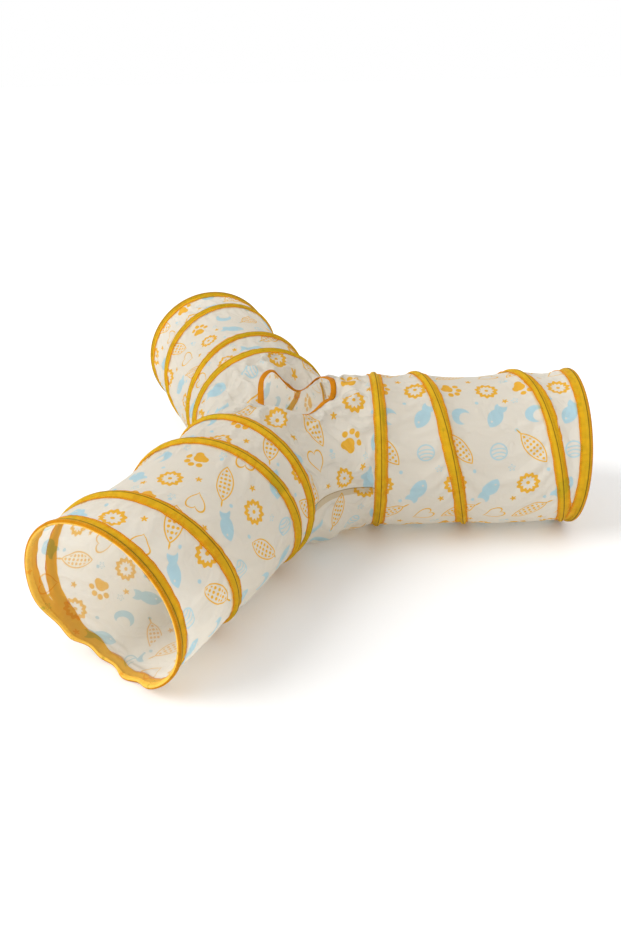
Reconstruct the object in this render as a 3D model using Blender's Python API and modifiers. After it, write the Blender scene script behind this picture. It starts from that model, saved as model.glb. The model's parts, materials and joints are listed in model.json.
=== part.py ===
"""Three-way pop-up tunnel for cats, after the photographed yellow and white one.

Three cloth arms leave a soft cloth hub, about 120 degrees apart. Each arm is held open by one spring
wire: a closed turn at its root, two open turns along the arm and a closed turn at its mouth. The wire
lies on the cloth, under a tape that is sewn down along both its edges. A hem of the same tape folds
over each mouth, and the hub has a peep hole with a bound edge in its top.

Metres, +Z up. The origin is on the floor under the middle of the hub. The right arm points along +X.
Each arm is drawn in its own frame: +Z out along the arm from its root hoop, +Y up, +X to its left.
"""

import math

import bmesh
import bpy
from mathutils import Vector

# Overall sizes
ARM_DIRECTIONS = {"right": 0.0, "back": 110.6, "front": 238.7}  # in degrees, as it was set out
HOOP_DIAMETER = 0.250  # outside of the wire, the size that such a tunnel is sold by
ARM_LENGTH = 0.320  # from the middle of the root hoop to the face of the mouth
ROOT_DISTANCE = 0.140  # from the middle of the hub to the middle of a root hoop
PEEP_HOLE_DIAMETER = 0.138
SEAM_HEIGHT = 0.124  # the seam along the hub's sides, above the floor

# Spring wire, and the sleeve that is crimped over its end and the turn beside it
WIRE_DIAMETER = 0.0020
COIL_TURNS = 2  # from the root hoop's crimp to the mouth hoop's
WIRE_SPACING = 0.0025  # between the two wires in a crimp
CRIMP_LENGTH = 0.012
CRIMP_WALL = 0.0004
CRIMP_BORE_CLEARANCE = 0.0001

# Cloth and tape, drawn thicker than the real ones so that they are sound solids
CLOTH_THICKNESS = 0.0006
TAPE_THICKNESS = 0.0006
TAPE_WIDTH = 0.020
HEM_OUTER_LEAF = 0.019  # the mouth's hem, along the outside of the cloth
HEM_INNER_LEAF = 0.014
PEEP_BINDING_WIDTH = 0.008
PEEP_BINDING_GAP = 0.0012  # round the folded cloth's edge
CLOTH_SAG = 0.004  # how far the cloth draws in between two turns of wire
PEEP_RIM_DROP = 0.003  # the top sinks this far at the hole's rim
PEEP_FOLDS = (  # where the slack rim sinks: degrees round the hole, depth, half width in degrees
    (80.0, 0.038, 38.0),
    (185.0, 0.024, 52.0),
    (346.0, 0.012, 30.0),
)
HUB_PAD_RADIUS = 0.060  # the part of the hub's floor that lies flat
HUB_FLOOR_SLACK = 0.014
CORNER_FULLNESS = 3.0  # the belly below a side seam, as a superellipse's power; 2 is round

# Clearances
SEAT_GAP = 0.0003
CLOTH_EDGE_GAP = 0.0020  # between two cloth edges under one tape
WIRE_SLOT_CLEARANCE = 0.0008

# Facets
SIDES = 24  # around an arm; a multiple of 4, so that a facet lies on the floor
STEP = 2 * math.pi / SIDES
FACET = math.cos(STEP / 2)  # a facet's distance from the axis, for a corner's distance of 1
FIRST_CORNER = -math.pi / 2 - STEP / 2
CROSSOVER_STEPS = 3  # in which a closed turn of wire crosses to the place beside its start
SLOT_STEPS = 3  # of wire path that open a tape's edge where the wire leaves it
SLEEVE_ROWS = 8
HUB_TOP_ROWS = 4
HUB_FLOOR_ROWS = 3
LEAST_ROW_HEIGHT = 0.0006
WELD_DISTANCE = 0.00001

# Radii of the corners, from an arm's axis outwards
WIRE_RADIUS = (HOOP_DIAMETER - WIRE_DIAMETER) / 2
CRIMP_HEIGHT = WIRE_DIAMETER + 2 * (CRIMP_BORE_CLEARANCE + CRIMP_WALL)
CRIMP_WIDTH = WIRE_SPACING + CRIMP_HEIGHT
CLOTH_RADIUS = WIRE_RADIUS - CRIMP_HEIGHT / 2 - SEAT_GAP
TAPE_FOOT_RADIUS = CLOTH_RADIUS + SEAT_GAP
TAPE_ROOF_RADIUS = WIRE_RADIUS + CRIMP_HEIGHT / 2 + 2 * SEAT_GAP
CHANNEL_HALF_WIDTH = CRIMP_WIDTH / 2 + SEAT_GAP
HEM_INNER_RADIUS = CLOTH_RADIUS - CLOTH_THICKNESS - SEAT_GAP
AXIS_HEIGHT = (TAPE_ROOF_RADIUS + TAPE_THICKNESS) * FACET

# Places along an arm, from the middle of its root hoop
HEM_FOLD = ARM_LENGTH - TAPE_THICKNESS  # inside of the hem's fold
MOUTH_HOOP = HEM_FOLD - SEAT_GAP - CRIMP_WIDTH / 2
HEM_EDGE = ARM_LENGTH - HEM_OUTER_LEAF
COIL_START = WIRE_SPACING / 2
COIL_END = MOUTH_HOOP - WIRE_SPACING / 2
COIL_STEPS = COIL_TURNS * SIDES - 1
COIL_RISE = (COIL_END - COIL_START) / COIL_STEPS
CLOTH_START = CLOTH_EDGE_GAP / 2
CLOTH_END = HEM_FOLD - SEAT_GAP

# The hub in plan. A side wall leaves an arm's straight line past this angle from the arm's axis.
ARM_NAMES = tuple(ARM_DIRECTIONS)
ARM_ANGLES = [math.radians(direction) for direction in ARM_DIRECTIONS.values()]
ARM_COUNT = len(ARM_ANGLES)
STRAIGHT_REACH = ROOT_DISTANCE - TAPE_WIDTH / 2 - 4 * SEAT_GAP  # just clear of the root tape
TURN_ANGLE = math.atan(CLOTH_RADIUS / STRAIGHT_REACH)
SLACK_REACH = ROOT_DISTANCE - TAPE_WIDTH
PEEP_HOLE_RADIUS = PEEP_HOLE_DIAMETER / 2
BINDING_REACH = PEEP_HOLE_RADIUS + PEEP_BINDING_WIDTH

# Colours, linear
CLOTH_COLOUR = (0.76, 0.71, 0.64, 1.0)
TAPE_COLOUR = (0.76, 0.42, 0.03, 1.0)
WIRE_COLOUR = (0.42, 0.42, 0.44, 1.0)
CRIMP_COLOUR = (0.60, 0.61, 0.62, 1.0)


def make_material(name, colour, roughness, metallic):
    """A plain Principled material."""
    material = bpy.data.materials.new(name)
    material.use_nodes = True
    shader = material.node_tree.nodes["Principled BSDF"]
    shader.inputs["Base Color"].default_value = colour
    shader.inputs["Roughness"].default_value = roughness
    shader.inputs["Metallic"].default_value = metallic
    return material


def clear_scene():
    """Removes the scene's objects."""
    for obj in list(bpy.data.objects):
        bpy.data.objects.remove(obj, do_unlink=True)


def make_collection(name):
    """A new collection in the scene."""
    collection = bpy.data.collections.new(name)
    bpy.context.scene.collection.children.link(collection)
    return collection


def add_object(name, data, collection, parent=None, turn=0.0, material=None):
    """An object in a collection, turned about its parent's long axis."""
    obj = bpy.data.objects.new(name, data)
    collection.objects.link(obj)
    obj.parent = parent
    obj.rotation_euler.z = turn
    if material:
        obj.data.materials.append(material)
    return obj


def add_empty(name, collection, location, rotation=(0, 0, 0), parent=None):
    """An empty that holds the parts which move as one."""
    empty = add_object(name, None, collection, parent)
    empty.location = location
    empty.rotation_euler = rotation
    return empty


def as_cutter(obj):
    """Marks an object as one that only cuts others."""
    obj.hide_render = True
    obj.display_type = "WIRE"
    return obj


def cut(obj, cutter):
    """Takes a cutter's volume out of an object."""
    boolean = obj.modifiers.new("Cut", "BOOLEAN")
    boolean.object = cutter
    boolean.operation = "DIFFERENCE"


def thicken(obj, thickness, outwards, even=True):
    """Gives an open surface its wall, on the side its faces point to or on the other one.

    An even wall keeps its thickness at corners. One that isn't even follows the points' normals.
    """
    solidify = obj.modifiers.new("Wall", "SOLIDIFY")
    solidify.thickness = thickness
    solidify.offset = 1.0 if outwards else -1.0
    solidify.use_even_offset = even


def profile_mesh(name, points, closed=False):
    """A profile in the XZ plane, from (radius, place along the axis) pairs."""
    mesh = bpy.data.meshes.new(name)
    edges = [(i, i + 1) for i in range(len(points) - 1)]
    if closed:
        edges.append((len(points) - 1, 0))
    mesh.from_pydata([(r, 0.0, z) for r, z in points], edges, [])
    return mesh


def wall_outline(path, thickness):
    """The outline of a wall that stands on the left of a path, with its corners mitred."""
    path = [Vector(point) for point in path]
    normals = []
    for here, there in zip(path, path[1:]):
        along = (there - here).normalized()
        normals.append(Vector((-along.y, along.x)))
    mitres = [
        (before + after) / (1 + before.dot(after))
        for before, after in zip(normals[:1] + normals, normals + normals[-1:])
    ]
    outside = [point + thickness * mitre for point, mitre in zip(path, mitres)]
    return [tuple(point) for point in outside + path[::-1]]


def turn_profile(obj, steps, rise=0.0):
    """Sweeps a profile about the object's Z axis, one facet a step, rising along a coil."""
    closed = steps == SIDES and rise == 0.0
    screw = obj.modifiers.new("Turn", "SCREW")
    screw.axis = "Z"
    screw.angle = steps * STEP
    screw.steps = steps
    screw.render_steps = steps
    screw.screw_offset = steps * rise
    screw.use_merge_vertices = closed
    screw.merge_threshold = WELD_DISTANCE


def corner_angle(index):
    """The angle of a corner around an arm. Corner 0 is just before the lowest facet."""
    return FIRST_CORNER + index * STEP


def wire_place(index):
    """How far along the arm the wire is at a corner, counted from the wire's start."""
    coil_first = SIDES + 1
    coil_last = coil_first + COIL_STEPS
    if index < coil_first:
        share = (index - SIDES + CROSSOVER_STEPS) / CROSSOVER_STEPS
        return (max(0.0, min(1.0, share)) - 0.5) * WIRE_SPACING
    if index <= coil_last:
        return COIL_START + (index - coil_first) * COIL_RISE
    return MOUTH_HOOP - wire_place(2 * SIDES + 2 + COIL_STEPS - index)


def wire_point(index):
    """The wire's middle at a corner, in its arm's frame."""
    angle = corner_angle(index)
    return Vector(
        (WIRE_RADIUS * math.cos(angle), WIRE_RADIUS * math.sin(angle), wire_place(index))
    )


def polyline_tube(name, points, radius, resolution):
    """A round wire along a line of points."""
    curve = bpy.data.curves.new(name, "CURVE")
    curve.dimensions = "3D"
    curve.bevel_depth = radius
    curve.bevel_resolution = resolution
    curve.use_fill_caps = True
    spline = curve.splines.new("POLY")
    spline.points.add(len(points) - 1)
    for spline_point, point in zip(spline.points, points):
        spline_point.co = (*point, 1.0)
    return curve


def least_gap(points, radius):
    """The least gap between a wire and its own other turns."""
    least = HOOP_DIAMETER
    for i in range(len(points) - 1):
        middle = (points[i] + points[i + 1]) / 2
        for j in range(i + SIDES // 2, len(points) - 1):
            a, b = points[j], points[j + 1]
            along = max(0.0, min(1.0, (middle - a).dot(b - a) / (b - a).length_squared))
            least = min(least, (middle - a - along * (b - a)).length - 2 * radius)
    return least


def coil_wire(arm, name, collection, material):
    """The spring wire, one unbroken length."""
    points = [wire_point(i) for i in range(2 * SIDES + 3 + COIL_STEPS)]
    print(f"{name}: least gap to itself {1000 * least_gap(points, WIRE_DIAMETER / 2):.2f} mm")
    curve = polyline_tube(name, points, WIRE_DIAMETER / 2, 1)
    return add_object(name, curve, collection, arm, material=material)


def wire_slot_cutter(arm, name, collection, first, last):
    """A fatter length of the wire's path, which opens a tape's edge where the wire leaves it."""
    points = [wire_point(i) for i in range(first, last + 1)]
    radius = WIRE_DIAMETER / 2 + WIRE_SLOT_CLEARANCE
    guide = add_object(name + "_guide", polyline_tube(name, points, radius, 2), collection)
    bpy.context.view_layer.update()
    evaluated = guide.evaluated_get(bpy.context.evaluated_depsgraph_get())
    mesh = bpy.data.meshes.new_from_object(evaluated)
    bpy.data.objects.remove(guide, do_unlink=True)
    weld = bmesh.new()
    weld.from_mesh(mesh)
    bmesh.ops.remove_doubles(weld, verts=weld.verts, dist=WELD_DISTANCE)
    weld.to_mesh(mesh)
    weld.free()
    return as_cutter(add_object(name, mesh, collection, arm))


def disc_cutter(arm, name, collection, low, high):
    """A solid disc across the arm, from one place along it to another."""
    mesh = bpy.data.meshes.new(name)
    disc = bmesh.new()
    radius = HOOP_DIAMETER
    bmesh.ops.create_cone(
        disc, cap_ends=True, segments=SIDES, radius1=radius, radius2=radius, depth=high - low
    )
    bmesh.ops.translate(disc, verts=disc.verts, vec=(0, 0, (low + high) / 2))
    disc.to_mesh(mesh)
    disc.free()
    return as_cutter(add_object(name, mesh, collection, arm))


def tape_path(middle):
    """A tape's underside: two feet on the cloth, and a roof that makes the wire's channel."""
    half = TAPE_WIDTH / 2
    return [
        (TAPE_FOOT_RADIUS, middle + half),
        (TAPE_ROOF_RADIUS, middle + CHANNEL_HALF_WIDTH),
        (TAPE_ROOF_RADIUS, middle - CHANNEL_HALF_WIDTH),
        (TAPE_FOOT_RADIUS, middle - half),
    ]


def root_binding(arm, name, collection, cutters, material):
    """The tape over the root hoop, where the arm's cloth and the hub's meet."""
    profile = profile_mesh(name, wall_outline(tape_path(0.0), TAPE_THICKNESS), closed=True)
    obj = add_object(name, profile, collection, arm, FIRST_CORNER, material)
    turn_profile(obj, SIDES)
    first = SIDES + 1
    cut(obj, wire_slot_cutter(arm, name + "_slot", cutters, first, first + SLOT_STEPS))
    return obj


def coil_binding(arm, name, collection, cutters, material):
    """The tape over the open turns. It runs in against the root's tape and the mouth's hem."""
    first = SIDES + 2
    profile = profile_mesh(name, tape_path(wire_place(first)))
    obj = add_object(name, profile, collection, arm, corner_angle(first), material)
    turn_profile(obj, COIL_STEPS - 2, COIL_RISE)
    thicken(obj, TAPE_THICKNESS, outwards=True)
    root_edge = TAPE_WIDTH / 2 + SEAT_GAP
    hem_edge = HEM_EDGE - SEAT_GAP
    cut(obj, disc_cutter(arm, name + "_root", cutters, -TAPE_WIDTH, root_edge))
    cut(obj, disc_cutter(arm, name + "_hem", cutters, hem_edge, ARM_LENGTH + TAPE_WIDTH))
    return obj


def mouth_hem(arm, mouth, name, collection, cutters, material):
    """The tape folded over the mouth's edge, with the wire inside the fold. Its face is flat."""
    path = [
        (HEM_INNER_RADIUS, ARM_LENGTH - HEM_INNER_LEAF),
        (HEM_INNER_RADIUS, HEM_FOLD),
        (TAPE_ROOF_RADIUS, HEM_FOLD),
        (TAPE_ROOF_RADIUS, MOUTH_HOOP - CHANNEL_HALF_WIDTH),
        (TAPE_FOOT_RADIUS, HEM_EDGE),
    ]
    outline = wall_outline([(r, z - ARM_LENGTH) for r, z in path], TAPE_THICKNESS)
    profile = profile_mesh(name, outline, closed=True)
    obj = add_object(name, profile, collection, mouth, FIRST_CORNER, material)
    turn_profile(obj, SIDES)
    last = SIDES + 1 + COIL_STEPS
    cut(obj, wire_slot_cutter(arm, name + "_slot", cutters, last - SLOT_STEPS, last))
    return obj


def stadium(radius, half_straight):
    """A round-ended outline, long side along X."""
    quarter_steps = 4
    points = []
    for side, start in ((1, -math.pi / 2), (-1, math.pi / 2)):
        for i in range(2 * quarter_steps + 1):
            angle = start + i * math.pi / (2 * quarter_steps)
            points.append(
                (side * half_straight + radius * math.cos(angle), radius * math.sin(angle))
            )
    return points


def crimp(parent, name, collection, place, material):
    """The oval sleeve over the wire's end and the turn beside it, in the lowest facet."""
    curve = bpy.data.curves.new(name, "CURVE")
    curve.dimensions = "2D"
    curve.fill_mode = "BOTH"
    curve.extrude = CRIMP_LENGTH / 2
    for radius in (CRIMP_HEIGHT / 2, WIRE_DIAMETER / 2 + CRIMP_BORE_CLEARANCE):
        outline = stadium(radius, WIRE_SPACING / 2)
        spline = curve.splines.new("POLY")
        spline.points.add(len(outline) - 1)
        for spline_point, (x, y) in zip(spline.points, outline):
            spline_point.co = (x, y, 0.0, 1.0)
        spline.use_cyclic_u = True
    obj = add_object(name, curve, collection, parent, material=material)
    obj.location = (0.0, -WIRE_RADIUS * FACET, place)
    obj.rotation_euler = (0.0, math.pi / 2, 0.0)
    return obj


def ease(share):
    """0 below 0, 1 above 1 and smooth between."""
    share = max(0.0, min(1.0, share))
    return share * share * (3 - 2 * share)


def cloth_draw_in(angle, place):
    """How far an arm's cloth is drawn in between the tapes, at a corner and a place along it."""
    half = TAPE_WIDTH / 2
    per_turn = SIDES * COIL_RISE
    lowest = COIL_START + ((angle - corner_angle(1)) % (2 * math.pi)) / STEP * COIL_RISE
    held = [(-half, half)]
    for turn in range(COIL_TURNS + 1):
        middle = lowest + turn * per_turn
        if middle < COIL_END:
            held.append((middle - half, middle + half))
    held.append((HEM_EDGE - half, ARM_LENGTH))
    for (_, low), (high, _) in zip(held, held[1:]):
        if low < place < high:
            return CLOTH_SAG * math.sin(math.pi * (place - low) / (high - low)) ** 2
    return 0.0


def sleeve(arm, name, collection, material):
    """An arm's cloth tube, drawn in a little between the turns of its wire."""
    first, last = TAPE_WIDTH / 2, HEM_EDGE - TAPE_WIDTH / 2
    places = [first + (last - first) * i / SLEEVE_ROWS for i in range(SLEEVE_ROWS + 1)]
    places = [CLOTH_START, *places, CLOTH_END]
    tube = bmesh.new()
    rows = []
    for place in places:
        row = []
        for i in range(SIDES):
            angle = corner_angle(i)
            radius = CLOTH_RADIUS - cloth_draw_in(angle, place)
            row.append(
                tube.verts.new((radius * math.cos(angle), radius * math.sin(angle), place))
            )
        rows.append(row)
    for low, high in zip(rows, rows[1:]):
        for i in range(SIDES):
            j = (i + 1) % SIDES
            tube.faces.new((low[i], low[j], high[j], high[i]))
    mesh = bpy.data.meshes.new(name)
    tube.to_mesh(mesh)
    tube.free()
    obj = add_object(name, mesh, collection, arm, material=material)
    thicken(obj, CLOTH_THICKNESS, outwards=False)
    return obj


def half_corner(arm):
    """Half the angle between an arm and the next one round."""
    ahead = ARM_ANGLES[(arm + 1) % ARM_COUNT] - ARM_ANGLES[arm]
    return (ahead % (2 * math.pi)) / 2


def lateral_share(off_axis, half):
    """The hub's wall is CLOTH_RADIUS / this from the middle, at an angle from the nearest arm."""
    if off_axis <= TURN_ANGLE:
        return math.sin(off_axis)
    past = off_axis - TURN_ANGLE
    room = half - TURN_ANGLE
    return math.sin(TURN_ANGLE) + math.cos(TURN_ANGLE) * past * (1 - past / (2 * room))


def off_nearest_arm(direction):
    """The angle from the nearest arm's axis, and half the corner that the direction lies in."""
    for arm in range(ARM_COUNT):
        past = (direction - ARM_ANGLES[arm]) % (2 * math.pi)
        half = half_corner(arm)
        if past <= 2 * half:
            return min(past, 2 * half - past), half
    return 0.0, math.pi / ARM_COUNT


def quarter_corners():
    """The corners of an arm's section from beside its axis to its top: (sideways, up)."""
    angles = [(i + 0.5) * STEP for i in range(SIDES // 4)]
    return [(CLOTH_RADIUS * math.cos(a), CLOTH_RADIUS * math.sin(a)) for a in angles]


def height_over_axis(sideways):
    """The faceted section's height at a distance to the side of its axis."""
    corners = quarter_corners()
    for (wide, low), (narrow, high) in zip(corners, corners[1:]):
        if sideways >= narrow:
            share = min(1.0, (sideways - narrow) / (wide - narrow))
            return high + share * (low - high)
    return corners[-1][1]


def sideways_at(height):
    """The faceted section's half width at a height above or below its axis."""
    height = abs(height)
    corners = quarter_corners()
    if height <= corners[0][1]:
        return corners[0][0]
    for (wide, low), (narrow, high) in zip(corners, corners[1:]):
        if height <= high:
            return wide + (height - low) / (high - low) * (narrow - wide)
    return corners[-1][0]


def rim_drop(direction):
    """How far the hole's rim has sunk, round the hole: a little, and far more in its folds."""
    drop = PEEP_RIM_DROP
    for middle, depth, half_width in PEEP_FOLDS:
        off = abs((math.degrees(direction) - middle + 180) % 360 - 180)
        drop += depth * (1 - ease(off / half_width))
    return drop


def hub_top_height(distance, direction):
    """The top's cloth: level with the arms' tops, and slack towards the hole's rim."""
    sideways = distance * lateral_share(*off_nearest_arm(direction))
    slack = 1 - ease((distance - BINDING_REACH) / (SLACK_REACH - BINDING_REACH))
    return AXIS_HEIGHT + height_over_axis(sideways) - rim_drop(direction) * slack


def hub_floor_height(distance, direction):
    """The floor's cloth: round like an arm in front of an arm, and fuller between two arms."""
    off_axis, half = off_nearest_arm(direction)
    sideways = min(distance * lateral_share(off_axis, half), CLOTH_RADIUS)
    cornering = ease((off_axis - TURN_ANGLE) / (half - TURN_ANGLE))
    power = CORNER_FULLNESS
    full = CLOTH_RADIUS * (1 - (sideways / CLOTH_RADIUS) ** power) ** (1 / power)
    depth = height_over_axis(sideways) * (1 - cornering) + full * cornering
    slack = 1 - ease((distance - HUB_PAD_RADIUS) / (SLACK_REACH - HUB_PAD_RADIUS))
    return max(0.0, AXIS_HEIGHT - depth - HUB_FLOOR_SLACK * slack)


def corner_run(sideways, arm):
    """(distance, direction) along a wall, from an arm's left side round to the next arm's right."""
    half = half_corner(arm)
    angles = [math.atan(sideways / STRAIGHT_REACH)]
    angles += [TURN_ANGLE + share * (half - TURN_ANGLE) for share in (0.0, 1 / 3, 2 / 3, 1.0)]
    angles += [2 * half - angle for angle in reversed(angles[:-1])]
    shares = [lateral_share(min(angle, 2 * half - angle), half) for angle in angles]
    return [(sideways / share, ARM_ANGLES[arm] + angle) for share, angle in zip(shares, angles)]


def hoop_run(arm, half_width):
    """(distance, direction) across an arm's root between its walls, at corners and between them."""
    end = STRAIGHT_REACH
    corners = [side for side, _ in quarter_corners() if side < half_width + SEAT_GAP]
    corners = [-side for side in corners] + corners[::-1]
    between = [(right + left) / 2 for right, left in zip(corners, corners[1:])]
    across = sorted(corners[1:-1] + between)
    return [(math.hypot(end, side), ARM_ANGLES[arm] + math.atan2(side, end)) for side in across]


def add_collar(panel, arm):
    """Runs a panel's edge across an arm's root straight on, under the tape."""
    along = Vector((math.cos(ARM_ANGLES[arm]), math.sin(ARM_ANGLES[arm]), 0.0))
    edge = [
        e
        for e in panel.edges
        if e.is_boundary
        and all(abs(v.co.dot(along) - STRAIGHT_REACH) < WELD_DISTANCE for v in e.verts)
    ]
    made = bmesh.ops.extrude_edge_only(panel, edges=edge)
    moved = [v for v in made["geom"] if isinstance(v, bmesh.types.BMVert)]
    reach = ROOT_DISTANCE - CLOTH_START - STRAIGHT_REACH
    bmesh.ops.translate(panel, verts=moved, vec=reach * along)


def shoulder_corner():
    """The last corner of the section whose wall still passes outside the peep hole."""
    halves = [half_corner(arm) for arm in range(ARM_COUNT)]
    widest_share = max(lateral_share(half, half) for half in halves)
    narrowest = BINDING_REACH * widest_share
    corners = quarter_corners()
    passing = [i for i, (side, _) in enumerate(corners) if side > narrowest]
    return passing[-1] if passing else 0


def wall_levels(side, seam):
    """Levels of a panel's wall from its shoulder to the seam, over the axis; side -1 is below it."""
    corners = quarter_corners()
    near = [side * up for _, up in reversed(corners[: shoulder_corner()])]
    far = [-side * up for _, up in corners]
    return [up for up in near + far if side * (up - seam) > LEAST_ROW_HEIGHT] + [seam]


def shoulder_loop():
    """A hub panel's columns, as (distance, direction), and the part of them at each corner."""
    half_width = quarter_corners()[shoulder_corner()][0]
    loop, at_corners = [], []
    for arm in range(ARM_COUNT):
        loop += hoop_run(arm, half_width)
        run = corner_run(half_width, arm)
        at_corners.append(slice(len(loop), len(loop) + len(run)))
        loop += run
    return loop, at_corners


def add_rows(panel, loop, first_radii, count, height_at):
    """Rings of points from a panel's middle out to its shoulder, and the faces between them.

    The first ring's points stand evenly round, and further out they turn towards their columns.
    """
    even_step = 2 * math.pi / len(loop)
    rows = []
    round_rows = len(first_radii)
    for i in range(round_rows + count):
        start = first_radii[min(i, round_rows - 1)]
        share = max(0, i - round_rows + 1) / count
        row = []
        for column, (distance, direction) in enumerate(loop):
            even = loop[0][1] + column * even_step
            direction = even + (direction - even) * share
            radius = start + (distance - start) * share
            x, y = radius * math.cos(direction), radius * math.sin(direction)
            row.append(panel.verts.new((x, y, height_at(radius, direction))))
        rows.append(row)
    for inner, further in zip(rows, rows[1:]):
        for i in range(len(loop)):
            j = (i + 1) % len(loop)
            panel.faces.new((inner[i], further[i], further[j], inner[j]))
    return rows


def add_wall(panel, shoulder, arm, side, seam, height_at):
    """The wall from the shoulder to the seam, round the corner after an arm."""
    above = shoulder
    for level in wall_levels(side, seam):
        slack_side = side * level >= quarter_corners()[0][1]
        below = []
        for distance, direction in corner_run(sideways_at(level), arm):
            height = height_at(distance, direction) if slack_side else AXIS_HEIGHT + level
            x, y = distance * math.cos(direction), distance * math.sin(direction)
            below.append(panel.verts.new((x, y, height)))
        for i in range(len(below) - 1):
            panel.faces.new((above[i], below[i], below[i + 1], above[i + 1]))
        above = below


def hub_panel(name, side, first_radii, count, height_at, collection, material):
    """One of the hub's two cloths, from its middle out to the arms and round to the side seams."""
    panel = bmesh.new()
    loop, at_corners = shoulder_loop()
    rows = add_rows(panel, loop, first_radii, count, height_at)
    seam = SEAM_HEIGHT - AXIS_HEIGHT + side * SEAT_GAP
    for arm, corner in enumerate(at_corners):
        add_wall(panel, rows[-1][corner], arm, side, seam, height_at)
    if side < 0:
        panel.faces.new(rows[0])
    for arm in range(ARM_COUNT):
        add_collar(panel, arm)
    bmesh.ops.recalc_face_normals(panel, faces=panel.faces)
    mesh = bpy.data.meshes.new(name)
    panel.to_mesh(mesh)
    panel.free()
    obj = add_object(name, mesh, collection, material=material)
    thicken(obj, CLOTH_THICKNESS, outwards=False, even=False)
    return obj


def peep_binding(top_panel, collection, material):
    """The tape folded over the peep hole's edge. It follows the top panel's first two rows."""
    cloth = bmesh.new()
    cloth.from_mesh(top_panel.data)
    cloth.verts.ensure_lookup_table()
    count = len(shoulder_loop()[0])
    over, under = PEEP_BINDING_GAP, -(CLOTH_THICKNESS + PEEP_BINDING_GAP)
    ring = bmesh.new()
    sections = []
    for rim, outer in zip(cloth.verts[:count], cloth.verts[count : 2 * count]):
        edge = rim.co + PEEP_BINDING_GAP * (rim.co - outer.co).normalized()
        section = (
            outer.co + over * outer.normal,
            edge + over * rim.normal,
            edge + under * rim.normal,
            outer.co + under * outer.normal,
        )
        sections.append([ring.verts.new(point) for point in section])
    cloth.free()
    for here, there in zip(sections, sections[1:] + sections[:1]):
        for i in range(3):
            ring.faces.new((here[i], there[i], there[i + 1], here[i + 1]))
    mesh = bpy.data.meshes.new("peep_hole_binding")
    ring.to_mesh(mesh)
    ring.free()
    obj = add_object("peep_hole_binding", mesh, collection, material=material)
    thicken(obj, TAPE_THICKNESS, outwards=True)
    return obj


def build_hub(collection, cloth, tape):
    """The hub's top, with its peep hole, and its floor, whose middle lies flat."""
    peep_rows = (PEEP_HOLE_RADIUS, BINDING_REACH)
    top = hub_panel("hub_top_panel", 1, peep_rows, HUB_TOP_ROWS, hub_top_height, collection, cloth)
    floor_rows = (HUB_PAD_RADIUS,)
    hub_panel("hub_floor_panel", -1, floor_rows, HUB_FLOOR_ROWS, hub_floor_height, collection, cloth)
    peep_binding(top, collection, tape)


def build_arm(index, name, parts, cutters, materials):
    """One arm: its empties stand on its swing's axis and at its mouth."""
    direction = ARM_ANGLES[index]
    x, y = ROOT_DISTANCE * math.cos(direction), ROOT_DISTANCE * math.sin(direction)
    rotation = (math.pi / 2, 0.0, math.pi / 2 + direction)
    arm = add_empty(f"arm_{name}", parts, (x, y, AXIS_HEIGHT), rotation)
    mouth = add_empty(f"mouth_{name}", parts, (0, 0, ARM_LENGTH), parent=arm)
    cloth, tape, steel, crimped = materials
    sleeve(arm, f"sleeve_{name}", parts, cloth)
    coil_wire(arm, f"coil_wire_{name}", parts, steel)
    root_binding(arm, f"root_binding_{name}", parts, cutters, tape)
    coil_binding(arm, f"coil_binding_{name}", parts, cutters, tape)
    mouth_hem(arm, mouth, f"mouth_binding_{name}", parts, cutters, tape)
    crimp(arm, f"root_crimp_{name}", parts, 0.0, crimped)
    crimp(mouth, f"mouth_crimp_{name}", parts, MOUTH_HOOP - ARM_LENGTH, crimped)


def main():
    """Builds the whole tunnel."""
    clear_scene()
    parts = make_collection("cat_tunnel")
    cutters = make_collection("cutters")
    materials = (
        make_material("printed_cloth", CLOTH_COLOUR, 0.75, 0.0),
        make_material("binding_tape", TAPE_COLOUR, 0.55, 0.0),
        make_material("spring_steel", WIRE_COLOUR, 0.35, 1.0),
        make_material("crimp_metal", CRIMP_COLOUR, 0.45, 1.0),
    )
    cloth, tape = materials[:2]
    for index, name in enumerate(ARM_NAMES):
        build_arm(index, name, parts, cutters, materials)
    build_hub(parts, cloth, tape)


main()
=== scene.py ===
"""Looks of a three-way pop-up tunnel for cats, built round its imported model.

Metres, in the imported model's frame: +Z up, the floor at 0, the right arm along +X. An arm's own
coordinates are its angle (0 on its left side, 90 degrees at its top, seen from the mouth with the
hub ahead: the angle grows from left over the top), its radius, and the place along it from its
root hoop. The cloth is a thin polyester taffeta with a printed pattern, the bands are woven tape.
"""

from __future__ import annotations

import json
import logging
import math
from collections.abc import Callable, Sequence
from dataclasses import dataclass, field
from enum import Enum

import bmesh
import bpy
import numpy as np
from mathutils import Matrix, Vector, noise

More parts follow.
